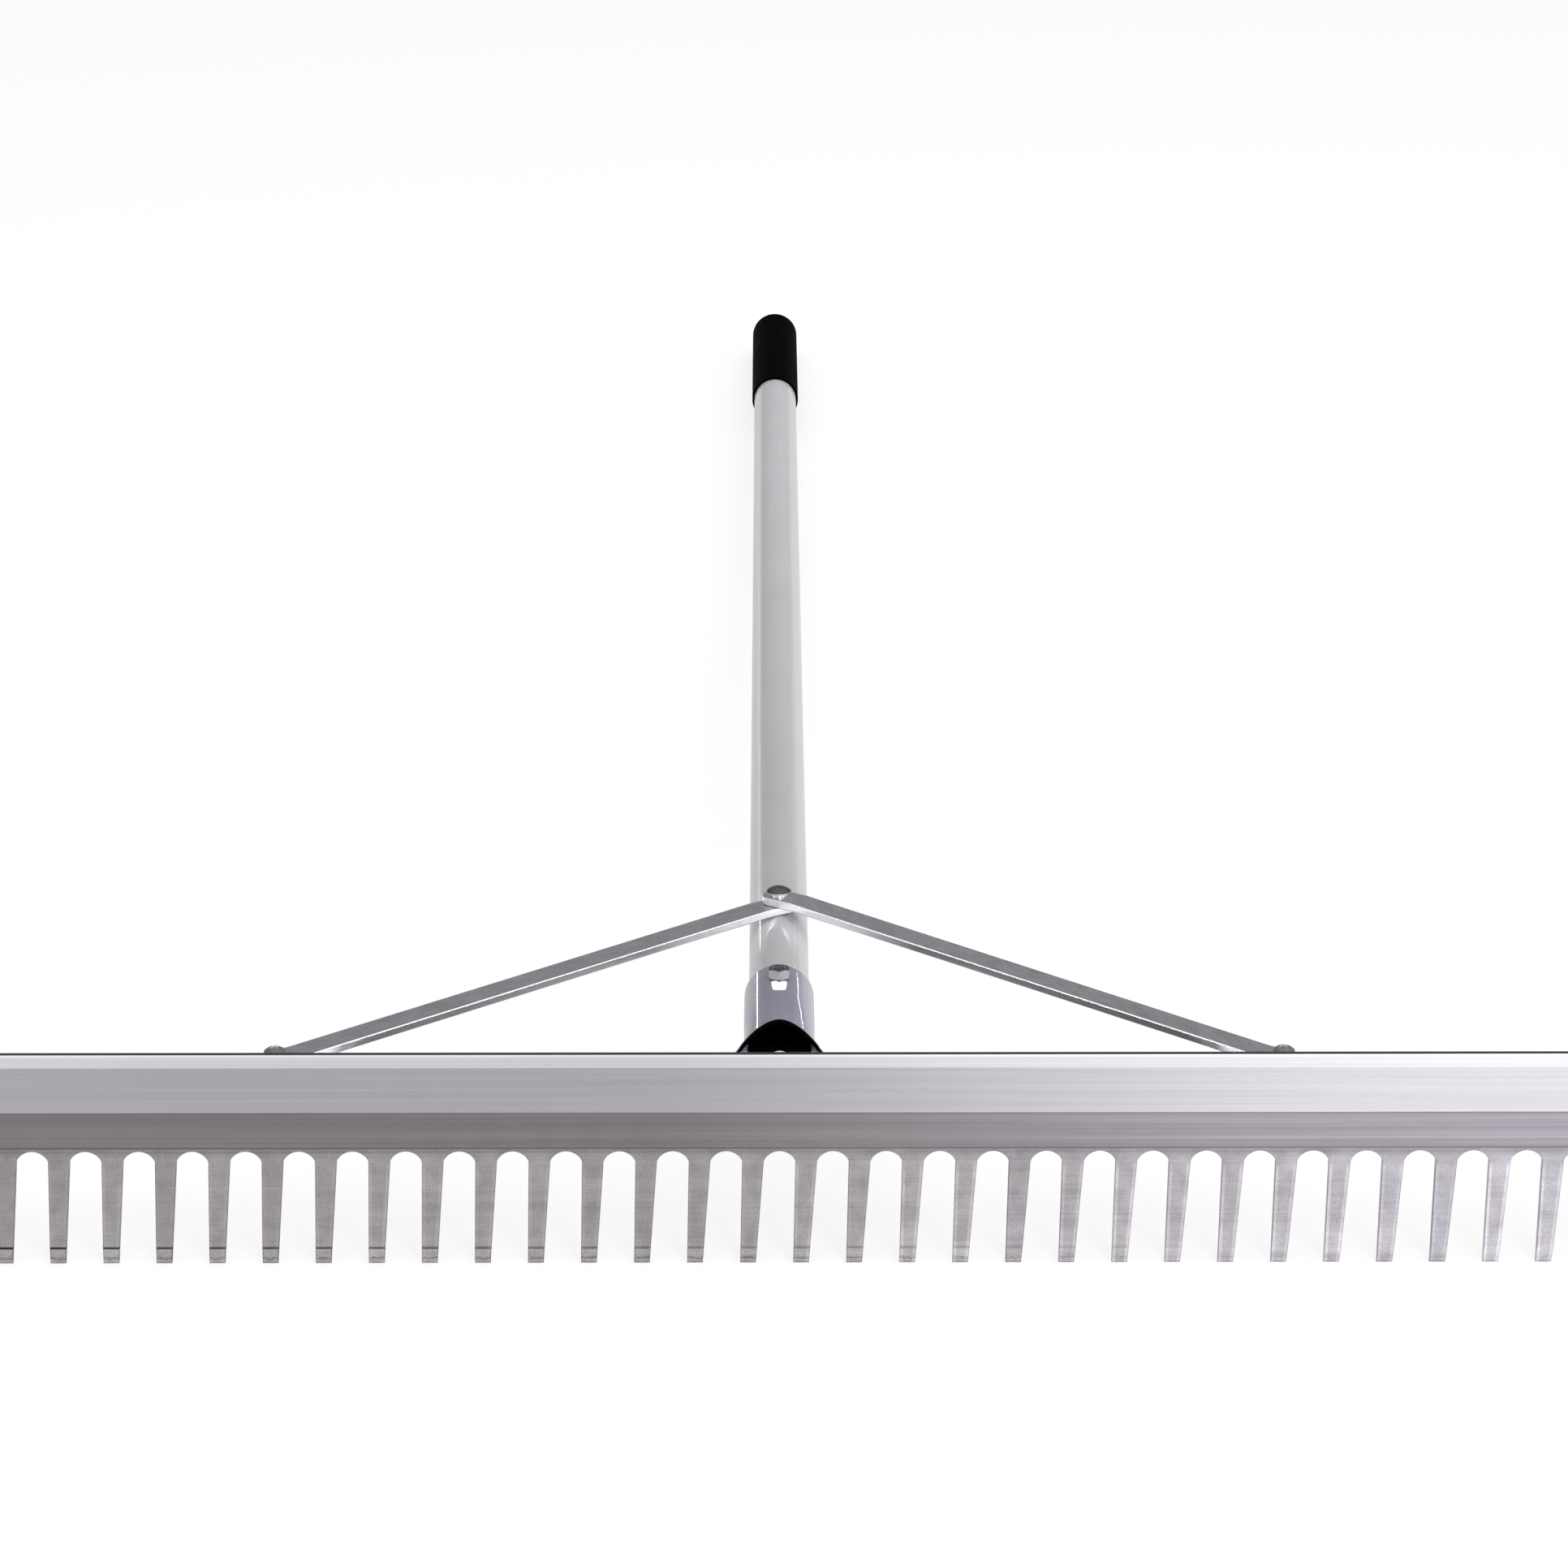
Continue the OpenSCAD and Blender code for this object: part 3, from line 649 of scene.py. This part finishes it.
def fastenerZinc(part):
    look = zincLooks[part]
    finish, tree, shader = newFinish("zinc_" + part)
    place = toolCoords(tree)
    cloud = noise(tree, place, scale=420, detail=4)
    speck = noise(tree, place, scale=1900, detail=3)
    grain = mixed(tree, (cloud, 0.65), (speck, 0.35))
    dress(tree, shader, toned(tree, grain, look, dullAt=0.36, paleAt=0.62), grain, look)
    setSockets(shader, {"Metallic": look["metal"], "Specular IOR Level": 0.2})
    bumps(tree, shader, cloud, strength=0.12, distance=0.0001)
    return finish


braceSize = {"width": 0.016, "thick": 0.004, "endReach": 0.0088, "tab": 0.013, "bendReach": 0.002,
             "jointY": 0.1975, "spread": 0.488, "softEdge": 0.0005, "endSteps": 20}
braceReach = (braceSize["spread"] / 2, braceSize["jointY"] - headSize["holeDepth"])
braceLength = math.hypot(*braceReach)
braceAngle = math.atan2(braceReach[1], braceReach[0])

headFinishes = [headAluminium(band) for band in headBands]
tubeFinish = tubeAluminium()
gripFinish = gripRubber()
paintFinish, cornerFinish = [ferrulePaint(name) for name in paintLooks]
insideFinish = ferruleInside()
leftFinishes = [bracePlate(part, "left", -braceAngle) for part in plateLooks]
rightFinishes = [bracePlate(part, "right", braceAngle) for part in plateLooks]
zincFinishes = [fastenerZinc(part) for part in zincLooks]
print("finishes made")


# head: one extrusion, its tines cut by one cutter that is repeated

def makeHead():
    size = headSize
    faceY = -size["nose"]
    lipBack = faceY + size["chamfer"] + size["lipLand"]
    wallBack = faceY + size["wall"]
    turnRise = size["wall"] * math.tan(math.atan2(size["nose"], size["slopeHeight"]) / 2)
    bevelLength, bevelDepth = size["tipBevel"]
    edgeLength, edgeDepth = size["tipEdge"]
    blade = size["blade"]
    profile = [
        (faceY, faceTop), (faceY + size["chamfer"], lipTop), (lipBack, lipTop), (lipBack, flangeTop),
        (size["flangeDepth"], flangeTop), (size["flangeDepth"], flangeBottom), (wallBack, flangeBottom),
        (wallBack, faceBottom + turnRise), (blade, slopeBottom + turnRise), (blade, tipHeight),
        (bevelDepth + edgeDepth, tipHeight), (bevelDepth, tipHeight + edgeLength),
        (0, tipHeight + bevelLength), (0, slopeBottom), (faceY, faceBottom),
    ]
    head = extruded("head", [(-headWidth / 2, y, z) for y, z in profile], (headWidth, 0, 0))
    # a gap between two tines: an arch at the root, then sides that spread and lean towards the tips
    topHalf = (tinePitch - size["tineRoot"]) / 2
    tipHalf = (tinePitch - size["tineTip"]) / 2
    rise = size["rootRise"]
    rootRadius = (topHalf ** 2 + rise ** 2) / (2 * rise)
    rootTurn = math.asin(topHalf / rootRadius)
    lean = size["tineLean"]
    gap = arc((0, rootTop - rootRadius), rootRadius, math.pi / 2 - rootTurn, math.pi / 2 + rootTurn,
              size["rootSteps"])
    pastShare = overrun / (springHeight - tipHeight)
    grow = (tipHalf - topHalf) * pastShare
    gap += [(-tipHalf - lean - grow - lean * pastShare, tipHeight - overrun),
            (tipHalf - lean + grow - lean * pastShare, tipHeight - overrun)]
    firstGap = -(size["tines"] / 2 - 1) * tinePitch
    cutter = extruded("gap", [(firstGap + x, -overrun, z) for x, z in gap], (0, blade + 2 * overrun, 0))
    applyModifier(cutter, "ARRAY", count=size["tines"] - 1, use_relative_offset=False,
                  use_constant_offset=True, constant_offset_displace=(tinePitch, 0, 0))
    cutAcross(head, (0, 0, rootTop + size["rootLand"] / 3), (0, 0, 1))
    combine(head, cutter, "DIFFERENCE")
    spots = [(side * braceSize["spread"] / 2, size["holeDepth"]) for side in (-1, 0, 1)]
    drill(head, flangeBottom, flangeTop, spots)

    # break the front edges of the tines, and the lip's upper front edge, which catches the light
    def onTineFront(low, high, normals):
        besideFlank = min(abs(n.y) + abs(n.z) for n in normals) < 0.75
        return high.z < rootTop + slack and min(n.y for n in normals) < -0.9 and besideFlank

    def onLipFront(low, high, normals):
        return low.z > lipTop - slack and low.y < lipBack - slack and high.x > low.x + slack

    softenEdges(head, size["tineSoft"], onTineFront)
    softenEdges(head, size["lipSoft"], onLipFront)
    smooth(head, angle=20)
    for face in head.data.polygons:
        up, ahead, height = face.normal.z, -face.normal.y, face.center.z
        if height < slopeBottom + slack:
            band = "blade"
        elif up < -0.2 and ahead > 0.5 and height < faceBottom + slack:
            band = "slope"
        elif up > 0.75 and height > lipTop - size["lipSoft"]:
            band = "land"
        elif up > 0.3 and ahead > 0.3:
            band = "chamfer"
        elif ahead < -0.3 or up > 0.95:
            band = "back"
        else:
            band = "face"
        face.material_index = headBands.index(band)
    finishPiece(head, "rake_head", "head_aluminium", *headFinishes)


# handle: drawn tube, and a closed rubber grip over its far end

tubeSize = {"radius": 0.015, "wall": 0.0015, "length": 1.555, "stopGap": 0.001, "sides": 128}
ferruleSize = {
    "wall": 0.0023, "fit": 0.0001, "rim": 0.105, "sleeve": 0.043, "boltFromRim": 0.019,
    "pressClear": 0.002, "mouth": 0.025, "mouthEdge": 0.001, "tongueFront": 0.005, "cornerBreak": 0.0012,
    "archWidth": 0.046, "archPower": 1.8, "flarePower": 3, "topPower": 2, "topShare": 0.25,
    "flatShare": 22 / 48, "points": 96, "pressRings": 18, "flareRings": 4,
    "softEdge": 0.0005, "litCorner": (0.0155, 0.036, 0.0026),
}
gripSize = {"radius": 0.0166, "length": 0.219, "endThick": 0.003, "endRadius": 0.005, "endSteps": 10,
            "mouthRadius": 0.0012, "mouthSteps": 6, "sides": 96}
sleeveRadius = tubeSize["radius"] + ferruleSize["fit"] + ferruleSize["wall"]
sleeveStart = ferruleSize["rim"] - ferruleSize["sleeve"]
tubeStart = sleeveStart + tubeSize["stopGap"]
tubeEnd = tubeStart + tubeSize["length"]
ferruleBolt = ferruleSize["rim"] - ferruleSize["boltFromRim"]
alongHandle = Matrix.Rotation(-math.pi / 2, 4, "X")


def makeTube():
    size = tubeSize
    clearPick()
    bpy.ops.mesh.primitive_cylinder_add(vertices=size["sides"], radius=size["radius"], depth=size["length"],
                                        end_fill_type="NOTHING",
                                        location=(0, 0, tubeStart + size["length"] / 2))
    tube = bpy.context.object
    movePiece(tube, alongHandle)
    holes = (ferruleBolt, braceSize["jointY"])
    for middle in holes:
        for offset in (-holeSeam, holeSeam):
            cutAcross(tube, (0, middle + offset, 0), (0, 1, 0))
    applyModifier(tube, "SOLIDIFY", thickness=size["wall"], offset=-1)
    drill(tube, -size["radius"], size["radius"], [(0, middle) for middle in holes])
    smooth(tube, angle=40)
    # painted shade: the inside and the end of the tube are near black
    for face in tube.data.polygons:
        inside = math.hypot(face.center.x, face.center.z) < size["radius"] - size["wall"] * 0.4
        face.material_index = 1 if inside or face.normal.y < -0.9 else 0
    finishPiece(tube, "handle_tube", "handle_aluminium", tubeFinish, insideFinish)


def makeGrip():
    size = gripSize
    bore = tubeSize["radius"] + ferruleSize["fit"]
    length, radius, corner, mouth = size["length"], size["radius"], size["endRadius"], size["mouthRadius"]
    floorAt = length - size["endThick"]
    section = [(bore, 0)]  # then the round edges of the mouth and of the closed end
    section += arc((radius - mouth, mouth), mouth, -math.pi / 2, 0, size["mouthSteps"])
    section += arc((radius - corner, length - corner), corner, 0, math.pi / 2, size["endSteps"])
    section += [(0, length), (0, floorAt), (bore, floorAt)]
    grip = spun("grip", section, size["sides"])
    movePiece(grip, Matrix.Translation((0, tubeEnd + ferruleSize["fit"] - floorAt, 0)) @ alongHandle)
    smooth(grip, angle=50)
    finishPiece(grip, "handle_grip", "grip_rubber", gripFinish)


# ferrule: a tube pressed flat below and to an arch above, open at the front over its tongue

def eased(share):
    share = max(0, min(1, share))
    return share * share * (3 - 2 * share)


def makeFerrule():
    size = ferruleSize
    count = size["points"]
    archHalf = size["archWidth"] / 2
    pressEnd = headSize["flangeDepth"] + size["pressClear"]
    rows = [size["rim"], ferruleBolt + holeSeam, ferruleBolt - holeSeam, sleeveStart]
    for start, end, steps in ((sleeveStart, pressEnd, size["pressRings"]),
                              (pressEnd, size["mouth"], size["flareRings"])):
        rows += [start + (end - start) * (step + 1) / steps for step in range(steps)]
    rows.append(size["tongueFront"])
    clearPick()
    bpy.ops.mesh.primitive_grid_add(x_subdivisions=count, y_subdivisions=len(rows) - 1, size=1)
    ferrule = bpy.context.object
    for index, vertex in enumerate(ferrule.data.vertices):
        y = rows[index // (count + 1)]
        angle = 2 * math.pi * (index % (count + 1)) / count  # from below, round to below again
        side = 1 if angle <= math.pi else -1
        turnShare = min(angle, 2 * math.pi - angle) / math.pi
        upper = eased((turnShare - size["flatShare"]) / size["topShare"])
        pressed = eased((sleeveStart - y) / (sleeveStart - pressEnd))
        ahead = max(0, min(1, (sleeveStart - y) / (sleeveStart - size["mouth"])))
        pressed += (ahead ** size["topPower"] - pressed) * upper
        halfWidth = sleeveRadius + (archHalf - sleeveRadius) * ahead ** size["flarePower"]
        halfWidth += (archHalf - halfWidth) * upper
        if turnShare < size["flatShare"]:
            x = turnShare / size["flatShare"]
            height = flangeTop
        else:
            x = (1 - turnShare) / (1 - size["flatShare"])
            height = sleeveRadius - (sleeveRadius - flangeTop) * x ** size["archPower"]
        flatX = side * x * halfWidth
        roundX, roundZ = sleeveRadius * math.sin(angle), -sleeveRadius * math.cos(angle)
        vertex.co = (roundX + (flatX - roundX) * pressed, y, roundZ + (height - roundZ) * pressed)
    cleanMesh(ferrule)
    # only the flat part runs on in front of the mouth, with broken corners
    clearParts(ferrule, "FACE")
    for face in ferrule.data.polygons:
        face.select = face.center.y < size["mouth"] and face.center.z > flangeTop + slack
    bpy.ops.object.mode_set(mode="EDIT")
    bpy.ops.mesh.delete(type="FACE")
    clearParts(ferrule, "VERT")
    front = [v for v in ferrule.data.vertices if v.co.y < size["tongueFront"] + slack]
    widest = max(v.co.x for v in front)
    for vertex in front:
        vertex.select = abs(vertex.co.x) > widest - slack
    bpy.ops.object.mode_set(mode="EDIT")
    bpy.ops.mesh.bevel(offset=size["cornerBreak"], segments=3, affect="VERTICES")
    bpy.ops.object.mode_set(mode="OBJECT")
    for finish in (paintFinish, insideFinish, cornerFinish):
        ferrule.data.materials.append(finish)
    applyModifier(ferrule, "SOLIDIFY", thickness=size["wall"], offset=-1, use_even_offset=False,
                  material_offset=1)
    drill(ferrule, -sleeveRadius, sleeveRadius, [(0, ferruleBolt)])
    soften(ferrule, size["softEdge"], segments=2, angle=75, shadeAngle=45)
    # painted light and shade: the low corners inside the mouth get the lighter copy of the paint, painted
    # light, and the rest of the inside and the edge of the arch are near black, painted shade
    litX, litY, litZ = size["litCorner"]
    for face in ferrule.data.polygons:
        x, y, z = face.center
        if abs(x) > litX and y < litY and z < litZ and face.material_index == 1:
            face.material_index = 2
        elif y < size["mouth"] and z < flangeTop + size["wall"] + slack:
            face.material_index = 0
        elif face.normal.y < -0.8 and y < size["mouth"] + size["mouthEdge"]:
            face.material_index = 1
    finishPiece(ferrule, "ferrule", "ferrule_paint")


# braces: flat bars with round ends, both tabs bent level

def makeBrace(node, direction, jointHeight, finishes):
    size = braceSize
    half = size["width"] / 2
    endShift = size["endReach"] - half
    outline = arc((braceLength + endShift, 0), half, -math.pi / 2, math.pi / 2, size["endSteps"])
    outline += arc((-endShift, 0), half, math.pi / 2, 3 * math.pi / 2, size["endSteps"])
    brace = extruded(node, [(x, y, 0) for x, y in outline], (0, 0, size["thick"]))
    drill(brace, 0, size["thick"], [(0, 0), (braceLength, 0)])
    bends = (size["tab"], braceLength - size["tab"])
    for place in bends:
        for offset in (-size["bendReach"], 0, size["bendReach"]):
            cutAcross(brace, (place + offset, 0, 0), (1, 0, 0))
    drop = flangeTop - jointHeight
    for vertex in brace.data.vertices:
        share = min(1, max(0, (vertex.co.x - bends[0]) / (bends[1] - bends[0])))
        vertex.co.z += jointHeight + drop * share
    soften(brace, size["softEdge"], segments=3, angle=40)
    for face in brace.data.polygons:
        up = face.normal.z
        part = "top" if up > 0.97 else "side" if abs(up) < 0.2 else "edge"
        face.material_index = list(plateLooks).index(part)
    movePiece(brace, Matrix.Translation((0, size["jointY"], 0)) @ Matrix.Rotation(direction, 4, "Z"))
    finishPiece(brace, node, "brace_plate", *finishes)


# fasteners: modelled once each, then copied to their places

boltSize = {
    "thread": 0.003, "pitch": 0.001, "depth": 0.0003, "runOut": 0.001, "lead": 0.0008, "pointDepth": 0.0007,
    "endPast": 0.002, "ferruleEndPast": 0.0005,
    # radius of a round head, and the heights of its top and of what is below it
    "dome": (0.0066, 0.0025, 0.0024), "button": (0.0055, 0.0025, 0.0026), "tongueNeck": 0.0012,
    "neckShare": (0.7, 0.45), "rim": 0.0003, "capSteps": 14, "softEdge": 0.00012, "sides": 48,
    "cross": (0.0052, 0.0011, 0.0011), "crossTurn": 0.5,
    "hexFlat": 0.010, "hexHead": 0.004, "nut": 0.005, "nutBore": 0.00305,
    "chamferShare": (0.97, 1.02), "chamferAngle": 30, "chamferSides": 72,
    "washerRadius": 0.006, "washer": 0.0016, "washerSoft": 0.0002, "washerBoreSoft": 0.0001,
    "washerSides": 64, "seatGap": 0.00005,
}
hexRadius = boltSize["hexFlat"] / 2 / math.cos(math.pi / 6)


def threadSection(top, bottom):
    size = boltSize
    section = [(size["thread"], top)]
    turns = int((top - bottom - size["runOut"]) / size["pitch"])
    start = bottom + size["lead"]
    for index in range(turns, -1, -1):
        z = start + index * size["pitch"]
        section += [(size["thread"], z + size["pitch"] * 0.5), (size["thread"] - size["depth"], z)]
    section = [corner for corner in section if corner[1] <= top]
    section += [(size["thread"] - size["pointDepth"], bottom), (0, bottom)]
    return section


# round top, a cone and a neck below it that stands on the seat, and the thread
def roundScrew(name, head, seat, end, capPart, crossed):
    size = boltSize
    radius, topHeight, coneHeight = head
    ball = (radius ** 2 + topHeight ** 2) / (2 * topHeight)
    topTurn = math.asin(radius / ball)
    rimHeight = seat + coneHeight
    ballMiddle = (0, rimHeight + topHeight - ball)
    section = arc(ballMiddle, ball, math.pi / 2, math.pi / 2 - topTurn, size["capSteps"])
    neck, neckTop = radius * size["neckShare"][0], seat + coneHeight * size["neckShare"][1]
    section += [(radius - size["rim"] * 0.5, rimHeight - size["rim"]), (neck, neckTop), (neck, seat)]
    screw = spun(name, section + threadSection(seat, end), size["sides"])
    length, width, depth = size["cross"]
    slotTurns = (0, math.pi / 2) if crossed else ()
    for turned in slotTurns:
        clearPick()
        bpy.ops.mesh.primitive_cube_add(size=1, location=(0, 0, rimHeight + topHeight),
                                        rotation=(0, 0, size["crossTurn"] + turned))
        slot = bpy.context.object
        slot.scale = (length, width, 2 * depth)
        combine(screw, slot, "DIFFERENCE")
    soften(screw, size["softEdge"], segments=2, angle=50)
    # the cap takes the given tone, which for the dome and the brace screws is painted shade
    for face in screw.data.polygons:
        onCap = face.center.z > rimHeight + slack
        inCross = face.normal.z < 0.7 and math.hypot(face.center.x, face.center.y) < length * 0.55
        face.material_index = zincParts.index(capPart) if onCap and not inCross else 0
    return screw


# six sided body with both ends turned to a chamfer
def hexBody(name, low, high):
    clearPick()
    bpy.ops.mesh.primitive_cylinder_add(vertices=6, radius=hexRadius, depth=high - low,
                                        location=(0, 0, (low + high) / 2))
    body = bpy.context.object
    body.name = name
    bpy.ops.object.transform_apply(location=True, rotation=True, scale=True)
    flat = boltSize["hexFlat"] / 2 * boltSize["chamferShare"][0]
    wide = hexRadius * boltSize["chamferShare"][1]
    fall = (wide - flat) * math.tan(math.radians(boltSize["chamferAngle"]))
    section = [(0, high), (flat, high), (wide, high - fall), (wide, low + fall), (flat, low), (0, low)]
    combine(body, spun("chamfer", section, boltSize["chamferSides"]), "INTERSECT")
    cleanMesh(body)
    return body


def makeNut():
    size = boltSize
    nut = hexBody("nut", 0, size["nut"])
    drill(nut, 0, size["nut"], [(0, 0)], size["nutBore"])
    cleanMesh(nut)
    smooth(nut, angle=25)
    flankTurns = [math.pi * (third + 0.5) / 3 for third in range(3)]
    flankWays = [Vector((math.sin(flankTurn), math.cos(flankTurn), 0)) for flankTurn in flankTurns]
    # painted shade: the nut's ends are dark
    for face in nut.data.polygons:
        onFlank = max(abs(face.normal.dot(way)) for way in flankWays) > 0.999
        part = "dark" if abs(face.normal.z) > 0.8 else "facet" if onFlank else "bright"
        face.material_index = zincParts.index(part)
    return nut


def makeWasher():
    size = boltSize
    ring, soft, boreSoft = size["washerRadius"], size["washerSoft"], size["washerBoreSoft"]
    section = [(holeRadius, boreSoft), (holeRadius + boreSoft, 0), (ring - soft, 0), (ring, soft)]
    section += [(radius, size["washer"] - height) for radius, height in reversed(section)]
    washer = spun("washer", section, size["washerSides"])
    smooth(washer, angle=30)
    return washer


def makeHexBolt(seat):
    size = boltSize
    bolt = hexBody("bolt", -seat - size["hexHead"], -seat)
    shankStart = seat + size["hexHead"] / 2
    thread = threadSection(shankStart, -seat - size["nut"] - size["ferruleEndPast"])
    section = [(radius, -height) for radius, height in thread] + [(0, -shankStart)]
    shank = spun("shank", section, size["sides"])
    combine(bolt, shank, "UNION")
    cleanMesh(bolt)
    smooth(bolt, angle=30)
    # painted shade: the bolt's end is dark, and nearly black inside the handle
    for face in bolt.data.polygons:
        inHandle = abs(face.center.z) < tubeSize["radius"]
        onEnd = face.center.z > seat + size["nut"] - size["ferruleEndPast"]
        face.material_index = zincParts.index("hidden" if inHandle else "dark" if onEnd else "bright")
    return bolt


def seatFastener(piece, node, spot):
    movePiece(piece, Matrix.Translation(spot))
    finishPiece(piece, node, "fastener_zinc", *zincFinishes)


def makeFasteners():
    size = boltSize
    underFlange = flangeBottom - size["washer"]
    underTube = -tubeSize["radius"] - size["seatGap"] - size["washer"]
    jointSeat = tubeSize["radius"] + size["seatGap"] + 2 * braceSize["thick"]
    ferruleSeat = sleeveRadius + size["seatGap"]
    endDrop = size["nut"] + size["endPast"]  # from a washer to the end of its bolt
    nut = makeNut()
    washer = makeWasher()

    def seatPair(group, x, y, height):
        for part, model, drop in (("_washer", washer, 0), ("_nut", nut, size["nut"])):
            seatFastener(copyPiece(model, group + part), group + part, (x, y, height - drop))

    dome = roundScrew("dome", size["dome"], jointSeat, underTube - endDrop, "dark", False)
    seatFastener(dome, "brace_joint_bolt", (0, braceSize["jointY"], 0))
    seatPair("brace_joint", 0, braceSize["jointY"], underTube)

    seatFastener(makeHexBolt(ferruleSeat), "ferrule_bolt", (0, ferruleBolt, 0))
    seatFastener(copyPiece(nut, "ferrule_nut"), "ferrule_nut", (0, ferruleBolt, ferruleSeat))

    radius, cap, cone = size["button"]
    rows = (("tongue", 0, ferruleSize["wall"], size["tongueNeck"], "bright"),
            ("left_brace", -1, braceSize["thick"], cone, "cap"),
            ("right_brace", 1, braceSize["thick"], cone, "cap"))
    for group, side, thick, below, capPart in rows:
        x, y = side * braceSize["spread"] / 2, headSize["holeDepth"]
        head = (radius, cap, below)
        screw = roundScrew(group, head, flangeTop + thick, underFlange - endDrop, capPart, True)
        seatFastener(screw, group + "_screw", (x, y, 0))
        seatPair(group, x, y, underFlange)
    bpy.data.objects.remove(nut)
    bpy.data.objects.remove(washer)


makeHead()
print("head made")
makeTube()
makeGrip()
print("handle made")
makeFerrule()
print("ferrule made")
braceSeat = tubeSize["radius"] + boltSize["seatGap"]
makeBrace("left_brace", math.pi + braceAngle, braceSeat, leftFinishes)
makeBrace("right_brace", -braceAngle, braceSeat + braceSize["thick"], rightFinishes)
print("braces made")
makeFasteners()
print("fasteners made")


# floor, light and camera

stageSize = {"floorRadius": 12, "floorDrop": 0.0003, "floorColour": (0.92, 0.92, 0.92), "floorGlow": 0.75}


def makeStage():
    clearPick()
    bpy.ops.mesh.primitive_circle_add(vertices=128, radius=stageSize["floorRadius"], fill_type="NGON",
                                      location=(0, 0, -stageSize["floorDrop"]))
    floor = bpy.context.object
    floor.name = "floor"
    bpy.ops.object.transform_apply(location=True, rotation=True, scale=True)
    finish, tree, shader = newFinish("white_floor")
    link = tree.links.new
    setSockets(shader, {"Base Color": (*stageSize["floorColour"], 1), "Roughness": 1,
                        "Specular IOR Level": 0})
    path = tree.nodes.new("ShaderNodeLightPath")
    seen = maths(tree, "MAXIMUM", path.outputs["Is Camera Ray"], path.outputs["Is Glossy Ray"])
    seen = maths(tree, "MAXIMUM", seen, path.outputs["Is Transmission Ray"])
    glow = tree.nodes.new("ShaderNodeEmission")
    glow.inputs["Strength"].default_value = 1
    mix = tree.nodes.new("ShaderNodeMixShader")
    link(times(tree, seen, stageSize["floorGlow"]), mix.inputs["Fac"])
    link(shader.outputs["BSDF"], mix.inputs[1])
    link(glow.outputs["Emission"], mix.inputs[2])
    link(mix.outputs["Shader"], tree.nodes["Material Output"].inputs["Surface"])
    floor.data.materials.append(finish)


# thin strips draw the long highlights on the ferrule, and two small panels the mirror image of its nut
lamps = {
    "over_light": {"spot": (0.45, 0.6, 3.0), "target": (0.45, 0.6, 0), "size": (5.2, 3.2), "power": 66},
    "top_light": {"spot": (0.2, -2.0, 2.5), "target": (0, -0.8, 0.1), "size": (4.2, 1.6), "power": 36},
    "right_light": {"spot": (1.0, -3.4, 1.0), "target": (0.3, -0.9, 0.05), "size": (1.1, 1.6), "power": 52},
    "left_strip": {"spot": (-2.02, 4.57, 0.354), "target": (0, -0.76, 0.12), "size": (0.7, 0.08),
                   "power": 4.4, "roll": 36},
    "right_strip": {"spot": (1.96, 4.58, 0.513), "target": (0, -0.76, 0.12), "size": (0.75, 0.035),
                    "power": 2.0, "roll": 25},
    "left_nut_panel": {"spot": (-2.1, -1.71, 1.03), "target": (0, -0.73, 0.1), "size": (0.42, 0.28),
                       "power": 7},
    "right_nut_panel": {"spot": (2.1, -1.71, 1.03), "target": (0, -0.73, 0.1), "size": (0.42, 0.28),
                        "power": 7},
}
# greys of the studio walls from the horizon up, in front of the rake and behind it
wallTones = {
    "front": [(0, (0.62, 0.62, 0.63)), (0.2, (0.58, 0.58, 0.59)), (0.5, (0.5, 0.5, 0.51)),
              (1, (0.6, 0.6, 0.6))],
    "back": [(0, (0.42, 0.42, 0.43)), (0.4, (0.42, 0.42, 0.43)), (0.7, (0.5, 0.5, 0.51)),
             (1, (0.6, 0.6, 0.6))],
    "backPlaces": (0, 0.5), "across": (0.8, 1.06, -0.8, 0.8),
}


def softLight(name, spot, target, size, power, roll=0):
    lamp = bpy.data.lights.new(name, "AREA")
    lamp.shape = "RECTANGLE"
    lamp.size, lamp.size_y = size
    lamp.energy = power
    item = bpy.data.objects.new(name, lamp)
    item.location = spot
    facing = (Vector(target) - Vector(spot)).to_track_quat("-Z", "Y")
    item.rotation_euler = (facing @ Quaternion((0, 0, 1), math.radians(roll))).to_euler()
    item.visible_camera = False
    bpy.context.scene.collection.objects.link(item)


def makeLight():
    for name, lamp in lamps.items():
        softLight(name, **lamp)
    world = bpy.data.worlds.new("studio")
    bpy.context.scene.world = world
    world.use_nodes = True
    tree = world.node_tree
    link = tree.links.new
    coords = tree.nodes.new("ShaderNodeTexCoord")
    x, y, z = axes(tree, coords.outputs["Generated"], "XYZ")
    height = spread(tree, z, 0, 1, 0, 1)
    tone = tree.nodes.new("ShaderNodeMix")
    tone.data_type = "RGBA"
    link(spread(tree, y, 0, 1, *wallTones["backPlaces"]), tone.inputs["Factor"])
    link(shades(tree, height, wallTones["front"]), tone.inputs["A"])
    link(shades(tree, height, wallTones["back"]), tone.inputs["B"])
    walls = dimmed(tree, tone.outputs["Result"], spread(tree, x, *wallTones["across"]))
    link(walls, tree.nodes["Background"].inputs["Color"])
    tree.nodes["Background"].inputs["Strength"].default_value = 1


cameraPlace = {"spot": (-0.0053, -3.2144, 1.1374), "pitch": 20.28, "heading": -0.1765,
               "lens": 124.96, "sensor": 36}


def makeCamera():
    view = bpy.data.cameras.new("camera")
    view.lens = cameraPlace["lens"]
    view.sensor_width = cameraPlace["sensor"]
    item = bpy.data.objects.new("camera", view)
    item.location = cameraPlace["spot"]
    item.rotation_euler = (math.radians(90 - cameraPlace["pitch"]), 0, math.radians(cameraPlace["heading"]))
    bpy.context.scene.collection.objects.link(item)
    bpy.context.scene.camera = item
    bpy.context.scene.view_settings.view_transform = "Standard"


makeStage()
makeLight()
makeCamera()
print("stage, light and camera made")
